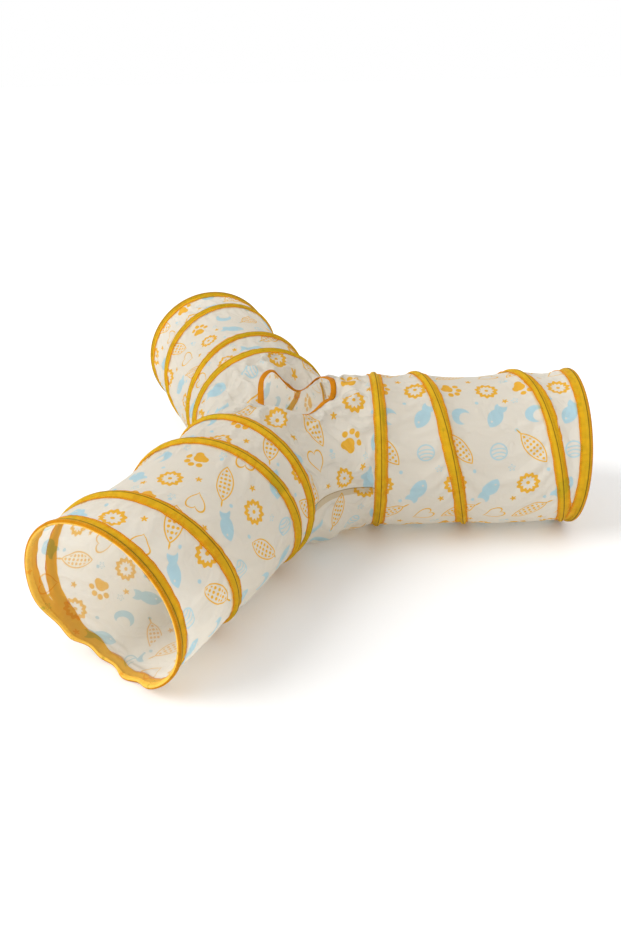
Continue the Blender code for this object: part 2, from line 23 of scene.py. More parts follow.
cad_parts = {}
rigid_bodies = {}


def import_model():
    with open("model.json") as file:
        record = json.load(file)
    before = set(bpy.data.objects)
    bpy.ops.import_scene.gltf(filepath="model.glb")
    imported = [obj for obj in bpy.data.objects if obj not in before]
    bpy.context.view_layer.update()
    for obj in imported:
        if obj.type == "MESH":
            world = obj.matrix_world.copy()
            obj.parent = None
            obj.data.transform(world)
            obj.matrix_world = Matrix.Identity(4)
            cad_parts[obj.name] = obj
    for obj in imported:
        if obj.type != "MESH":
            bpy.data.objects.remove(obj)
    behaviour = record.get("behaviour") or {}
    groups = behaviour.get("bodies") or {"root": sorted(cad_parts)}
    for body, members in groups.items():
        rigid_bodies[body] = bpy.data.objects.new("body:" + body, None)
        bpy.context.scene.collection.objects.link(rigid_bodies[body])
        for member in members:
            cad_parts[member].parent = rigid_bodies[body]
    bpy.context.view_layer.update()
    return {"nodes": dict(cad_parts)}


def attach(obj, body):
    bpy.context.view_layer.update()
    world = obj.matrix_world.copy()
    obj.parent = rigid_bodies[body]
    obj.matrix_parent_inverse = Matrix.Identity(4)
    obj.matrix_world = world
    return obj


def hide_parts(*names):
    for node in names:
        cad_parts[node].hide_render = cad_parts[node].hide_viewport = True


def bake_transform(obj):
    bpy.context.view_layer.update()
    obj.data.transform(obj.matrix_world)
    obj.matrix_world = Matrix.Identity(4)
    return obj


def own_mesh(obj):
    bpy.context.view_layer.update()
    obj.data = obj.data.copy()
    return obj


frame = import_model()
LOG = logging.getLogger("cat_tunnel")
MILLIMETRE = 0.001
TURN = 2 * math.pi
UP = Vector((0, 0, 1))
LARGEST_PULL = 0.024  # how far a mouth's side can be drawn in, in metres
CLOTH_WALL = 0.2 * MILLIMETRE
MERGE_DISTANCE = 0.02 * MILLIMETRE


# Sizes and places


@dataclass(frozen=True)
class TunnelSizes:
    """Sizes that the pieces share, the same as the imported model's."""

    hoop_diameter: float = 0.250
    arm_length: float = 0.320
    root_distance: float = 0.140
    hole_radius: float = 0.069
    hole_binding_width: float = 0.008
    pad_radius: float = 0.060
    wire_radius: float = 0.0010
    wire_spacing: float = 0.0025
    tape_width: float = 0.020
    tape_thickness: float = 0.0006
    outer_leaf: float = 0.019
    inner_leaf: float = 0.014
    cloth_radius: float = 0.1222
    tape_foot: float = 0.1225
    tape_roof: float = 0.1261
    hem_inside: float = 0.1213
    mouth_hoop: float = 0.3164
    hem_fold: float = 0.3194
    cloth_start: float = 0.0010
    cloth_end: float = 0.3191
    cloth_sag: float = 0.0015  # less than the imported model's: settling adds to it
    seat_gap: float = 0.0003
    sides: int = 24
    coil_steps: int = 47
    crossover_steps: int = 3  # in which a closed turn of wire crosses to the place beside its start
    travel: float = 0.285

    @property
    def step(self) -> float:
        """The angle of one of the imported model's facets."""
        return TURN / self.sides

    @property
    def facet(self) -> float:
        """How far a facet's middle is from the axis, for a corner at 1."""
        return math.cos(self.step / 2)

    @property
    def axis_height(self) -> float:
        """The height of the arms' axes over the floor."""
        return (self.tape_roof + self.tape_thickness) * self.facet

    @property
    def wire_circle(self) -> float:
        """The radius of the wire's turns, to the middle of the wire."""
        return self.hoop_diameter / 2 - self.wire_radius

    @property
    def coil_rise(self) -> float:
        """How far the coil climbs in one step."""
        return (self.mouth_hoop - self.wire_spacing) / self.coil_steps

    @property
    def half_tape(self) -> float:
        """Half the width of a tape."""
        return self.tape_width / 2

    @property
    def hem_edge(self) -> float:
        """Where the hem's outer leaf starts along an arm."""
        return self.arm_length - self.outer_leaf

    @property
    def open_start(self) -> float:
        """Where an arm's open turns come out from under the root tape."""
        return self.half_tape + self.seat_gap

    @property
    def open_end(self) -> float:
        """Where an arm's open turns go under the hem."""
        return self.hem_edge - self.seat_gap

    @property
    def straight_reach(self) -> float:
        """How far the hub's cloth runs before it goes under a root tape."""
        return self.root_distance - self.half_tape - 4 * self.seat_gap

    def wire_place(self, index: float) -> float:
        """The wire's place along its arm.

        Args:
            index: Steps of one facet from the wire's start, which need not be whole.

        Returns:
            The place from the root hoop's middle.
        """
        first, last = self.sides + 1, self.sides + 1 + self.coil_steps
        half = self.wire_spacing / 2
        if index < first:
            into = (index - self.sides + self.crossover_steps) / self.crossover_steps
            return -half + min(1.0, max(0.0, into)) * self.wire_spacing
        if index <= last:
            return half + (index - first) * self.coil_rise
        return self.mouth_hoop - self.wire_place(first + last - index)

    def wire_angle(self, index: float) -> float:
        """The angle round the arm at which the wire is after a number of steps."""
        return -math.pi / 2 - self.step / 2 + index * self.step


SIZES = TunnelSizes()


@dataclass(frozen=True)
class Lie:
    """How a soft mouth lies: one side of its hoop is drawn in along the arm, as the coil sags."""

    angle: float = 0.0
    depth: float = 0.0
    half_width: float = 1.0
    slack: float = 0.7
    slack_length: float = 0.040

    def pull(self, angle: float, along: float) -> float:
        """How far the arm is drawn in at an angle and a place along it."""
        off = abs((angle - self.angle + math.pi) % TURN - math.pi) / self.half_width
        if off >= 1:
            return 0.0
        reach = max(0.0, along / SIZES.arm_length)
        slack = 1 + self.slack * ripple(round_arm(angle), self.slack_length, 2.0)
        return self.depth * (0.5 + 0.5 * math.cos(math.pi * off)) * reach**2 * slack

    @property
    def deepest(self) -> float:
        """How far the mouth is drawn in where it is most."""
        return max(self.pull(i * SIZES.step, SIZES.arm_length) for i in range(SIZES.sides))


@dataclass(frozen=True)
class ArmPlace:
    """Where an arm lies, and how its cloth was cut."""

    name: str
    degrees: float
    print_shift: tuple[float, float]
    lie: Lie = Lie()

    @property
    def out(self) -> Vector:
        """The way out along the arm."""
        angle = math.radians(self.degrees)
        return Vector((math.cos(angle), math.sin(angle), 0.0))

    @property
    def left(self) -> Vector:
        """The arm's left, looking out along it."""
        return Vector((-self.out.y, self.out.x, 0.0))

    @property
    def root(self) -> Vector:
        """The middle of the root hoop."""
        return SIZES.root_distance * self.out + SIZES.axis_height * UP

    @property
    def arm_body(self) -> str:
        """The body that holds the arm's root."""
        return f"arm_{self.name}"

    @property
    def mouth_body(self) -> str:
        """The body that holds the mouth's hoop."""
        return f"mouth_{self.name}"

    def point(self, angle: float, radius: float, along: float) -> Vector:
        """A point of the arm in the frame.

        The lowest facet of every hoop rests flat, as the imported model's does.

        Args:
            angle: The angle round the arm.
            radius: The distance from the arm's axis, before the floor flattens it.
            along: The place along the arm.

        Returns:
            The point, in metres.
        """
        off = abs((angle + math.pi / 2 + math.pi) % TURN - math.pi)
        radius *= min(1.0, SIZES.facet / math.cos(min(off, SIZES.step)))
        side, up = radius * math.cos(angle), radius * math.sin(angle)
        along -= self.lie.pull(angle, along)
        return self.root + side * self.left + up * UP + along * self.out


ARMS = (
    ArmPlace("right", 0.0, (0.013, 0.021)),
    ArmPlace("back", 110.6, (0.094, 0.062)),
    ArmPlace(
        "front",
        238.7,
        (0.047, 0.133),
        Lie(math.radians(250), LARGEST_PULL, half_width=math.radians(62)),
    ),
)


def ease(share: float) -> float:
    """0 below 0, 1 above 1 and smooth between."""
    share = max(0.0, min(1.0, share))
    return share * share * (3 - 2 * share)


def ripple(point: Vector, length: float, seed: float) -> float:
    """Smooth noise between about -1 and 1, with waves of a length, the same in every run."""
    return noise.noise(point / length + seed * Vector((1.0, 1.7, 2.3)))


def round_arm(angle: float, along: float = 0.0) -> Vector:
    """A point to take noise at, which meets itself after a turn round an arm."""
    radius = SIZES.tape_roof
    return Vector((radius * math.cos(angle), radius * math.sin(angle), along))


# Meshes


def select_only(obj: bpy.types.Object) -> None:
    """Makes an object the only selected and active one."""
    bpy.ops.object.select_all(action="DESELECT")
    obj.select_set(True)
    bpy.context.view_layer.objects.active = obj


def apply_modifiers(obj: bpy.types.Object) -> None:
    """Applies an object's modifiers in order."""
    select_only(obj)
    for modifier in list(obj.modifiers):
        bpy.ops.object.modifier_apply(modifier=modifier.name)


def edit(obj: bpy.types.Object, steps: Callable[[], None]) -> None:
    """Runs operators in edit mode with all of the mesh selected."""
    select_only(obj)
    bpy.ops.object.mode_set(mode="EDIT")
    bpy.ops.mesh.select_all(action="SELECT")
    steps()
    bpy.ops.object.mode_set(mode="OBJECT")


def merge_doubles(obj: bpy.types.Object) -> None:
    """Joins the vertices that meet, as at the ends of a tape."""
    edit(obj, lambda: bpy.ops.mesh.remove_doubles(threshold=MERGE_DISTANCE))


def write_map(mesh: bpy.types.Mesh, name: str, points: Sequence[tuple[float, float]]) -> None:
    """Gives a mesh a UV map in metres, from one point a vertex."""
    layer = mesh.uv_layers.get(name) or mesh.uv_layers.new(name=name)
    corners = np.zeros(len(mesh.loops), np.int32)
    mesh.loops.foreach_get("vertex_index", corners)
    layer.data.foreach_set("uv", np.array(points, np.float32)[corners].ravel())


def read_map(mesh: bpy.types.Mesh, name: str) -> np.ndarray:
    """One point of a UV map for each vertex."""
    uv = np.zeros(len(mesh.loops) * 2, np.float32)
    corners = np.zeros(len(mesh.loops), np.int32)
    mesh.uv_layers[name].data.foreach_get("uv", uv)
    mesh.loops.foreach_get("vertex_index", corners)
    points = np.zeros((len(mesh.vertices), 2))
    points[corners] = uv.reshape(-1, 2)
    return points


@dataclass(frozen=True)
class Strip:
    """A flat strip of cloth or tape, which is wound or bent to its place.

    The strip is a primitive grid. Its two coordinates run from 0 to 1: length first, then width.
    """

    name: str
    columns: int
    rows: int

    def lay(
        self,
        place: Callable[[float, float], Vector],
        maps: dict[str, Callable[[float, float], tuple[float, float]]],
        closed: bool = False,
    ) -> bpy.types.Object:
        """Adds the grid and bends it to its place.

        Args:
            place: Gives the point in the frame for a point of the strip.
            maps: By a UV map's name, what gives the point's place in that map, in metres.
            closed: Whether the strip's ends meet.

        Returns:
            The bent strip.
        """
        bpy.ops.object.select_all(action="DESELECT")
        bpy.ops.mesh.primitive_grid_add(
            x_subdivisions=self.columns, y_subdivisions=self.rows, size=1.0, calc_uvs=False
        )
        obj = bpy.context.active_object
        obj.name = obj.data.name = self.name
        shares = [(v.co.x + 0.5, v.co.y + 0.5) for v in obj.data.vertices]
        for name, flat in maps.items():
            write_map(obj.data, name, [flat(x, y) for x, y in shares])
        for vertex, (x, y) in zip(obj.data.vertices, shares):
            vertex.co = place(x, y)
        if closed:
            merge_doubles(obj)
        return obj


def give_wall(obj: bpy.types.Object, thickness: float, outwards: bool, inner_slot: int = 0) -> None:
    """Gives an open sheet its thickness.

    Args:
        obj: The sheet, whose faces point out.
        thickness: The wall, in metres.
        outwards: Whether the wall grows on the side that the faces point to.
        inner_slot: How many slots further the inner face's material is.
    """
    solidify = obj.modifiers.new("Wall", "SOLIDIFY")
    solidify.thickness = thickness
    solidify.offset = 1.0 if outwards else -1.0
    solidify.material_offset = inner_slot
    apply_modifiers(obj)


def smooth_over(obj: bpy.types.Object, levels: int) -> None:
    """Subdivides a mesh and shades it smooth."""
    if levels:
        subdivision = obj.modifiers.new("Fine", "SUBSURF")
        subdivision.levels = subdivision.render_levels = levels
        apply_modifiers(obj)
    select_only(obj)
    bpy.ops.object.shade_smooth()


def dress(obj: bpy.types.Object, slot: str, *materials: bpy.types.Material) -> None:
    """Gives a piece its materials."""
    obj.data.materials.clear()
    for material in materials:
        obj.data.materials.append(material)


def add_object(name: str, data: bpy.types.ID) -> bpy.types.Object:
    """Adds an object for a mesh, a curve, a lamp or a camera."""
    obj = bpy.data.objects.new(name, data)
    bpy.context.scene.collection.objects.link(obj)
    return obj


# Finishes


def linear(code: str) -> tuple[float, float, float, float]:
    """An sRGB hex colour as linear red, green, blue and alpha."""
    parts = [int(code[i : i + 2], 16) / 255 for i in (1, 3, 5)]
    red, green, blue = [c / 12.92 if c <= 0.04045 else ((c + 0.055) / 1.055) ** 2.4 for c in parts]
    return (red, green, blue, 1.0)


def add_node(
    tree: bpy.types.NodeTree,
    kind: str,
    settings: dict[str, object] | None = None,
    inputs: dict[int | str, object] | None = None,
) -> bpy.types.Node:
    """Adds a node with its settings and links.

    Args:
        tree: The material's node tree.
        kind: The node's type.
        settings: The node's own properties.
        inputs: Its sockets by name or number, each with a value or with the socket that feeds it.

    Returns:
        The node.
    """
    node = tree.nodes.new(kind)
    for key, value in (settings or {}).items():
        setattr(node, key, value)
    for key, value in (inputs or {}).items():
        if isinstance(value, bpy.types.NodeSocket):
            tree.links.new(value, node.inputs[key])
        else:
            node.inputs[key].default_value = value
    return node


Socket = bpy.types.NodeSocket


def chain(tree: bpy.types.NodeTree, operation: str, *values: Socket | float) -> Socket:
    """Joins amounts one after another by an operation of two values.

    Args:
        tree: The material's node tree.
        operation: The operation, such as MULTIPLY or MINIMUM.
        values: The amounts, each a socket or a number.

    Returns:
        What comes out.
    """
    total = values[0]
    for value in values[1:]:
        node = add_node(tree, "ShaderNodeMath", {"operation": operation}, {0: total, 1: value})
        total = node.outputs[0]
    return total


@dataclass(frozen=True)
class Motif:
    """One figure of the print: its middle in the tile in millimetres, and its turn in degrees."""

    draw: Callable[[Print, Socket], Socket]
    x: float
    y: float
    turn: float = 0.0


@dataclass(frozen=True)
class Print:
    """The printed pattern, drawn by the distances to its figures' edges, on the cloth's own map.

    It is drawn in a tile in millimetres and then grown. Big figures then stand some 56 mm apart and
    are 30 to 60 mm long, and small ones stand between them.
    """

    tree: bpy.types.NodeTree
    map_name: str = "cloth"
    tile: tuple[float, float] = (250.0, 100.0)
    growth: float = 1.12
    half_blur: float = 0.2

    def nearest(self, *edges: Socket) -> Socket:
        """The distance to the edge of several figures put together."""
        return chain(self.tree, "MINIMUM", *edges)

    def shared(self, *edges: Socket) -> Socket:
        """The distance to the edge of what several figures have in common."""
        return chain(self.tree, "MAXIMUM", *edges)

    def grown(self, edge: Socket, amount: float) -> Socket:
        """The distance to an edge that is moved out."""
        return chain(self.tree, "SUBTRACT", edge, amount)

    def inverse(self, edge: Socket) -> Socket:
        """The distance with inside and outside changed over."""
        return chain(self.tree, "MULTIPLY", edge, -1.0)

    def here(self) -> Socket:
        """The point on the flat cloth, in millimetres."""
        on_map = add_node(self.tree, "ShaderNodeUVMap", {"uv_map": self.map_name})
        size = {0: on_map.outputs[0], "Scale": 1 / MILLIMETRE / self.growth}
        return add_node(self.tree, "ShaderNodeVectorMath", {"operation": "SCALE"}, size).outputs[0]

    def seen_from(
        self, here: Socket, x: float, y: float, turn: float, tile: tuple[float, float]
    ) -> Socket:
        """The point seen from the nearest of a tile's repeated figures, turned upright."""
        middle = {0: here, 1: (x, y, 0.0)}
        moved = add_node(self.tree, "ShaderNodeVectorMath", {"operation": "SUBTRACT"}, middle)
        high = (tile[0] / 2, tile[1] / 2, 1.0)
        low = (-tile[0] / 2, -tile[1] / 2, -1.0)
        span = {0: moved.outputs[0], 1: high, 2: low}
        wrapped = add_node(self.tree, "ShaderNodeVectorMath", {"operation": "WRAP"}, span)
        upright = {"Vector": wrapped.outputs[0], "Angle": math.radians(turn)}
        about_z = {"rotation_type": "Z_AXIS"}
        return add_node(self.tree, "ShaderNodeVectorRotate", about_z, upright).outputs[0]

    def disc(self, point: Socket, radius: float, x: float = 0.0, y: float = 0.0) -> Socket:
        """Distance to a disc's edge, below 0 inside."""
        ends = {0: point, 1: (x, y, 0.0)}
        reach = add_node(self.tree, "ShaderNodeVectorMath", {"operation": "DISTANCE"}, ends)
        return self.grown(reach.outputs["Value"], radius)

    def lens(self, point: Socket, length: float, width: float, middle: float = 0.0) -> Socket:
        """Distance to the edge of a pointed oval that lies along X."""
        reach = ((length / 2) ** 2 / (width / 2) + width / 2) / 2
        shift = reach - width / 2
        return self.shared(*(self.disc(point, reach, middle, side * shift) for side in (-1, 1)))

    def outline(self, edge: Socket, width: float) -> Socket:
        """A line along an edge."""
        size = add_node(self.tree, "ShaderNodeMath", {"operation": "ABSOLUTE"}, {0: edge})
        return self.grown(size.outputs[0], width / 2)

    def petals(self, point: Socket, radius: float, depth: float, count: int) -> Socket:
        """Distance to the edge of a round figure with waves, such as a flower or a star."""
        xyz = add_node(self.tree, "ShaderNodeSeparateXYZ", {}, {0: point})
        angle = chain(self.tree, "ARCTAN2", xyz.outputs[1], xyz.outputs[0])
        turns = chain(self.tree, "MULTIPLY", angle, float(count))
        wave = add_node(self.tree, "ShaderNodeMath", {"operation": "COSINE"}, {0: turns})
        lift = chain(self.tree, "MULTIPLY", wave.outputs[0], depth)
        return self.grown(self.disc(point, radius), lift)

    def ring_flower(self, point: Socket) -> Socket:
        """A thick ring with waves round it and a dot in it."""
        ring = self.outline(self.petals(point, radius=12.0, depth=1.4, count=11), width=5.8)
        return self.nearest(ring, self.disc(point, radius=2.6))

    def spotted_leaf(self, point: Socket) -> Socket:
        """A long leaf in outline with spots on it and a stalk."""
        edge = self.lens(point, length=52.0, width=21.0)
        from_spot = self.seen_from(point, 0.0, 0.0, 0.0, tile=(6.6, 5.4))
        spots = self.shared(self.disc(from_spot, radius=1.95), self.grown(edge, -2.4))
        stalk = self.lens(point, length=12.0, width=2.2, middle=-30.0)
        return self.nearest(self.outline(edge, width=1.6), spots, stalk)

    def paw_print(self, point: Socket) -> Socket:
        """A pad and four toes."""
        toes = [(-11.4, 3.8), (-4.4, 11.0), (4.6, 11.2), (11.6, 4.4)]
        parts = [self.disc(point, 4.0, *toe) for toe in toes]
        parts.append(self.disc(point, 7.8, y=-4.2))
        parts += [self.disc(point, 5.4, x=side * 5.0, y=-7.2) for side in (-1, 1)]
        return self.nearest(*parts)

    def fish(self, point: Socket) -> Socket:
        """A body with a forked tail and a hole for an eye."""
        body = self.lens(point, length=34.0, width=20.0)
        fork = self.inverse(self.disc(point, radius=8.6, x=28.0))
        tail = self.shared(self.disc(point, radius=8.6, x=17.5), fork)
        eye = self.disc(point, radius=1.5, x=-8.5, y=1.6)
        return self.shared(self.nearest(body, tail), self.inverse(eye))

    def moon(self, point: Socket) -> Socket:
        """A crescent."""
        bite = self.disc(point, radius=9.2, x=6.2, y=3.6)
        return self.shared(self.disc(point, radius=13.0), self.inverse(bite))

    def heart(self, point: Socket) -> Socket:
        """A heart in outline, from a disc whose height grows with the root of its side."""
        xyz = add_node(self.tree, "ShaderNodeSeparateXYZ", {}, {0: point})
        side = add_node(self.tree, "ShaderNodeMath", {"operation": "ABSOLUTE"}, {0: xyz.outputs[0]})
        root = chain(self.tree, "POWER", side.outputs[0], 0.5)
        lift = chain(self.tree, "MULTIPLY", root, 3.0)
        height = chain(self.tree, "SUBTRACT", xyz.outputs[1], lift)
        moved = add_node(self.tree, "ShaderNodeCombineXYZ", {}, {0: xyz.outputs[0], 1: height})
        return self.outline(self.disc(moved.outputs[0], radius=12.0, y=-4.0), width=1.8)

    def yarn_ball(self, point: Socket) -> Socket:
        """A ball in outline with three turns of yarn across it."""
        ball = self.disc(point, radius=11.0)
        turns = [self.disc(point, radius, x=16.0, y=6.0) for radius in (11.5, 16.5, 21.5)]
        strands = self.nearest(*(self.outline(turn, width=1.6) for turn in turns))
        return self.nearest(self.outline(ball, width=1.9), self.shared(strands, ball))

    def star(self, point: Socket) -> Socket:
        """A small star with five soft points."""
        return self.petals(point, radius=3.3, depth=1.3, count=5)

    def star_outline(self, point: Socket) -> Socket:
        """A small star in outline."""
        return self.outline(self.star(point), width=1.1)

    def dot(self, point: Socket) -> Socket:
        """A small dot."""
        return self.disc(point, radius=2.5)

    def coverage(self, motifs: Sequence[Motif]) -> Socket:
        """How much of the cloth an ink covers: 0 or 1, with a soft edge."""
        here = self.here()
        edges = [m.draw(self, self.seen_from(here, m.x, m.y, m.turn, self.tile)) for m in motifs]
        blur = {
            "Value": self.nearest(*edges),
            "From Min": self.half_blur,
            "From Max": -self.half_blur,
        }
        return add_node(self.tree, "ShaderNodeMapRange", {"clamp": True}, blur).outputs[0]

    def inks(self) -> tuple[Socket, Socket]:
        """How much gold and how much blue ink covers a point."""
        return self.coverage(GOLD_FIGURES), self.coverage(BLUE_FIGURES)


GOLD_FIGURES = (
    Motif(Print.ring_flower, 22.0, 20.0),
    Motif(Print.spotted_leaf, 73.0, 29.0, turn=58.0),
    Motif(Print.paw_print, 124.0, 21.0, turn=24.0),
    Motif(Print.spotted_leaf, 222.0, 26.0, turn=-40.0),
    Motif(Print.heart, 78.0, 80.0, turn=-28.0),
    Motif(Print.ring_flower, 126.0, 71.0, turn=70.0),
    Motif(Print.star, 46.0, 2.0, turn=10.0),
    Motif(Print.star, 99.0, 50.0, turn=50.0),
    Motif(Print.star, 149.0, 93.0),
)
BLUE_FIGURES = (
    Motif(Print.fish, 29.0, 70.0, turn=30.0),
    Motif(Print.moon, 174.0, 30.0, turn=-35.0),
    Motif(Print.yarn_ball, 226.0, 79.0, turn=15.0),
    Motif(Print.fish, 176.0, 77.0, turn=-150.0),
    Motif(Print.dot, 48.0, 46.0),
    Motif(Print.dot, 100.0, 3.0),
    Motif(Print.dot, 151.0, 54.0),
    Motif(Print.dot, 196.0, 4.0),
    Motif(Print.dot, 3.0, 46.0),
    Motif(Print.star_outline, 249.0, 97.0, turn=30.0),
    Motif(Print.star_outline, 102.0, 97.0, turn=30.0),
    Motif(Print.star_outline, 150.0, 6.0, turn=30.0),
)


def layer_colours(
    tree: bpy.types.NodeTree, ground: Socket | str, layers: Sequence[tuple[Socket, str, str]]
) -> Socket:
    """Lays colours over each other.

    Args:
        tree: The material's node tree.
        ground: What lies under all of them, a socket or a hex colour.
        layers: For each one how much of it covers a point, its hex colour and the way it mixes.

    Returns:
        The colour that comes out.
    """
    colour = linear(ground) if isinstance(ground, str) else ground
    for amount, code, way in layers:
        settings = {"data_type": "RGBA", "blend_type": way}
        mixed = add_node(tree, "ShaderNodeMix", settings, {0: amount, 6: colour, 7: linear(code)})
        colour = mixed.outputs[2]
    return colour


def within(
    tree: bpy.types.NodeTree, across: Socket, middle: float, half: float, soft: float
) -> Socket:
    """1 within a half width of a line on a map, 0 past a soft edge."""
    off = chain(tree, "SUBTRACT", across, middle)
    size = add_node(tree, "ShaderNodeMath", {"operation": "ABSOLUTE"}, {0: off})
    smooth = {"clamp": True, "interpolation_type": "SMOOTHSTEP"}
    edge = {"Value": size.outputs[0], "From Min": half + soft, "From Max": half}
    return add_node(tree, "ShaderNodeMapRange", smooth, edge).outputs[0]


def thin_fabric(
    name: str,
    roughness: float,
    shine: float,
    light_through: float,
    dress_tree: Callable[[bpy.types.NodeTree], tuple[Socket, Socket]],
) -> bpy.types.Material:
    """A fabric of polyester, IOR 1.54, that lets light through.

    Args:
        name: The material's name.
        roughness: How rough its threads are.
        shine: How much of a smooth surface's shine the weave leaves, 0.5 for all of it.
        light_through: The share of light that comes through.
        dress_tree: Adds the nodes that give the colour and the normal.

    Returns:
        The material.
    """
    material = bpy.data.materials.new(name)
    material.use_nodes = True
    tree = material.node_tree
    shader = tree.nodes["Principled BSDF"]
    shader.inputs["Roughness"].default_value = roughness
    shader.inputs["IOR"].default_value = 1.54
    shader.inputs["Specular IOR Level"].default_value = shine
    colour, normal = dress_tree(tree)
    tree.links.new(colour, shader.inputs["Base Color"])
    tree.links.new(normal, shader.inputs["Normal"])
    lit_from_behind = {"Color": colour, "Normal": normal}
    through = add_node(tree, "ShaderNodeBsdfTranslucent", {}, lit_from_behind)
    shares = {0: light_through, 1: shader.outputs[0], 2: through.outputs[0]}
    both = add_node(tree, "ShaderNodeMixShader", {}, shares)
    tree.links.new(both.outputs[0], tree.nodes["Material Output"].inputs["Surface"])
    return material


@dataclass(frozen=True)
class PrintedTaffeta:
    """Thin polyester taffeta, plain woven and calendered, printed on one face.

    From behind it shows the print faintly, and the tape that is sewn on its front, partly seen
    through it and partly painted light that comes through the tape. Along a side seam the cloth is
    turned in, so it is double there and passes less light, and a thin line of painted shade lies
    in the seam's crease.
    """

    # To the eye: warm white, half see-through, a faint sheen on sharp soft creases, no threads
    name: str
    behind: bool = False
    cloth: str = "#E9E6DF"
    gold: str = "#F2CA50"
    blue: str = "#C8E2EC"
    # partly the tape seen through the cloth, partly painted light that comes through it
    lit_tape_behind: str = "#FFD868"
    # painted shade: the thin darker line along the side seam's crease
    seam: str = "#D8CCB2"
    doubled: str = "#EDE4D2"
    roughness: float = 0.42
    shine: float = 0.3
    ink_behind: float = 0.5
    light_through: float = 0.68
    weave_pitch: float = 1.4 * MILLIMETRE  # the real 0.25 mm is too fine to show
    weave_depth: float = 0.1 * MILLIMETRE
    weave_strength: float = 0.12
    crease_size: float = 40 * MILLIMETRE
    crease_depth: float = 0.5 * MILLIMETRE
    creases: float = 9.0
    turned_in: float = 9 * MILLIMETRE
    seam_half: float = 0.5 * MILLIMETRE
    seam_shade: float = 0.8 * MILLIMETRE
    turned_blur: float = 0.5 * MILLIMETRE
    tape_blur: float = 0.3 * MILLIMETRE

    def make(self) -> bpy.types.Material:
        """Builds the material."""
        fabric = (self.name, self.roughness, self.shine, self.light_through)
        return thin_fabric(*fabric, self.dress_tree)

    def dress_tree(self, tree: bpy.types.NodeTree) -> tuple[Socket, Socket]:
        """Adds the print and the relief."""
        return self.colour(tree), self.relief(tree)

    def folded(self, tree: bpy.types.NodeTree) -> Socket:
        """The height of the creases between 0 and 1, as sharp folds of wide waves."""
        where = add_node(tree, "ShaderNodeTexCoord")
        wide = {
            "Vector": where.outputs["Object"],
            "Scale": 1 / self.crease_size,
            "Detail": 2.0,
            "Roughness": 0.4,
            "Distortion": 0.6,
        }
        waves = add_node(tree, "ShaderNodeTexNoise", {}, wide)
        height = chain(tree, "MULTIPLY", waves.outputs[0], self.creases)
        return chain(tree, "PINGPONG", height, 1.0)

    def colour(self, tree: bpy.types.NodeTree) -> Socket:
        """The white cloth with its two inks and a line of painted shade in the side seam's crease,
        and from behind the tapes that lie under it, seen through and with painted light coming
        through them.
        """
        gold, blue = Print(tree).inks()
        on_map = add_node(tree, "ShaderNodeUVMap", {"uv_map": "bands"})
        off = add_node(tree, "ShaderNodeSeparateXYZ", {}, {0: on_map.outputs[0]})
        off_tape, off_seam = off.outputs[0], off.outputs[1]
        if self.behind:
            # the tapes behind: partly seen through the cloth, partly painted light coming through
            # them
            tape = within(tree, off_tape, 0.0, SIZES.half_tape, self.tape_blur)
            layers = (
                (tape, self.lit_tape_behind, "MIX"),
                (chain(tree, "MULTIPLY", blue, self.ink_behind), self.blue, "MULTIPLY"),
                (chain(tree, "MULTIPLY", gold, self.ink_behind), self.gold, "MULTIPLY"),
            )
            return layer_colours(tree, self.cloth, layers)
        half_turned = self.turned_in / 2
        layers = (
            (blue, self.blue, "MIX"),
            (gold, self.gold, "MIX"),
            (
                within(tree, off_seam, -half_turned, half_turned, self.turned_blur),
                self.doubled,
                "MULTIPLY",
            ),
            # a thin line of painted shade along the side seam's crease
            (within(tree, off_seam, 0.0, self.seam_half, self.seam_shade), self.seam, "MULTIPLY"),
        )
        return layer_colours(tree, self.cloth, layers)

    def relief(self, tree: bpy.types.NodeTree) -> Socket:
        """The weave and the creases, as bump."""
        on_map = add_node(tree, "ShaderNodeUVMap", {"uv_map": "cloth"})
        threads = {
            "Vector": on_map.outputs[0],
            "Scale": 1.0,
            "Mortar Size": self.weave_pitch / 8,
            "Mortar Smooth": 1.0,
            "Brick Width": self.weave_pitch,
            "Row Height": self.weave_pitch / 2,
        }
        weave = add_node(tree, "ShaderNodeTexBrick", {"offset": 0.5}, threads).outputs["Fac"]
        fine = {"Strength": self.weave_strength, "Distance": self.weave_depth, "Height": weave}
        woven = add_node(tree, "ShaderNodeBump", {"invert": True}, fine).outputs[0]
        coarse = {"Strength": 1.0, "Distance": self.crease_depth, "Height": self.folded(tree)}
        return add_node(tree, "ShaderNodeBump", {}, {**coarse, "Normal": woven}).outputs[0]


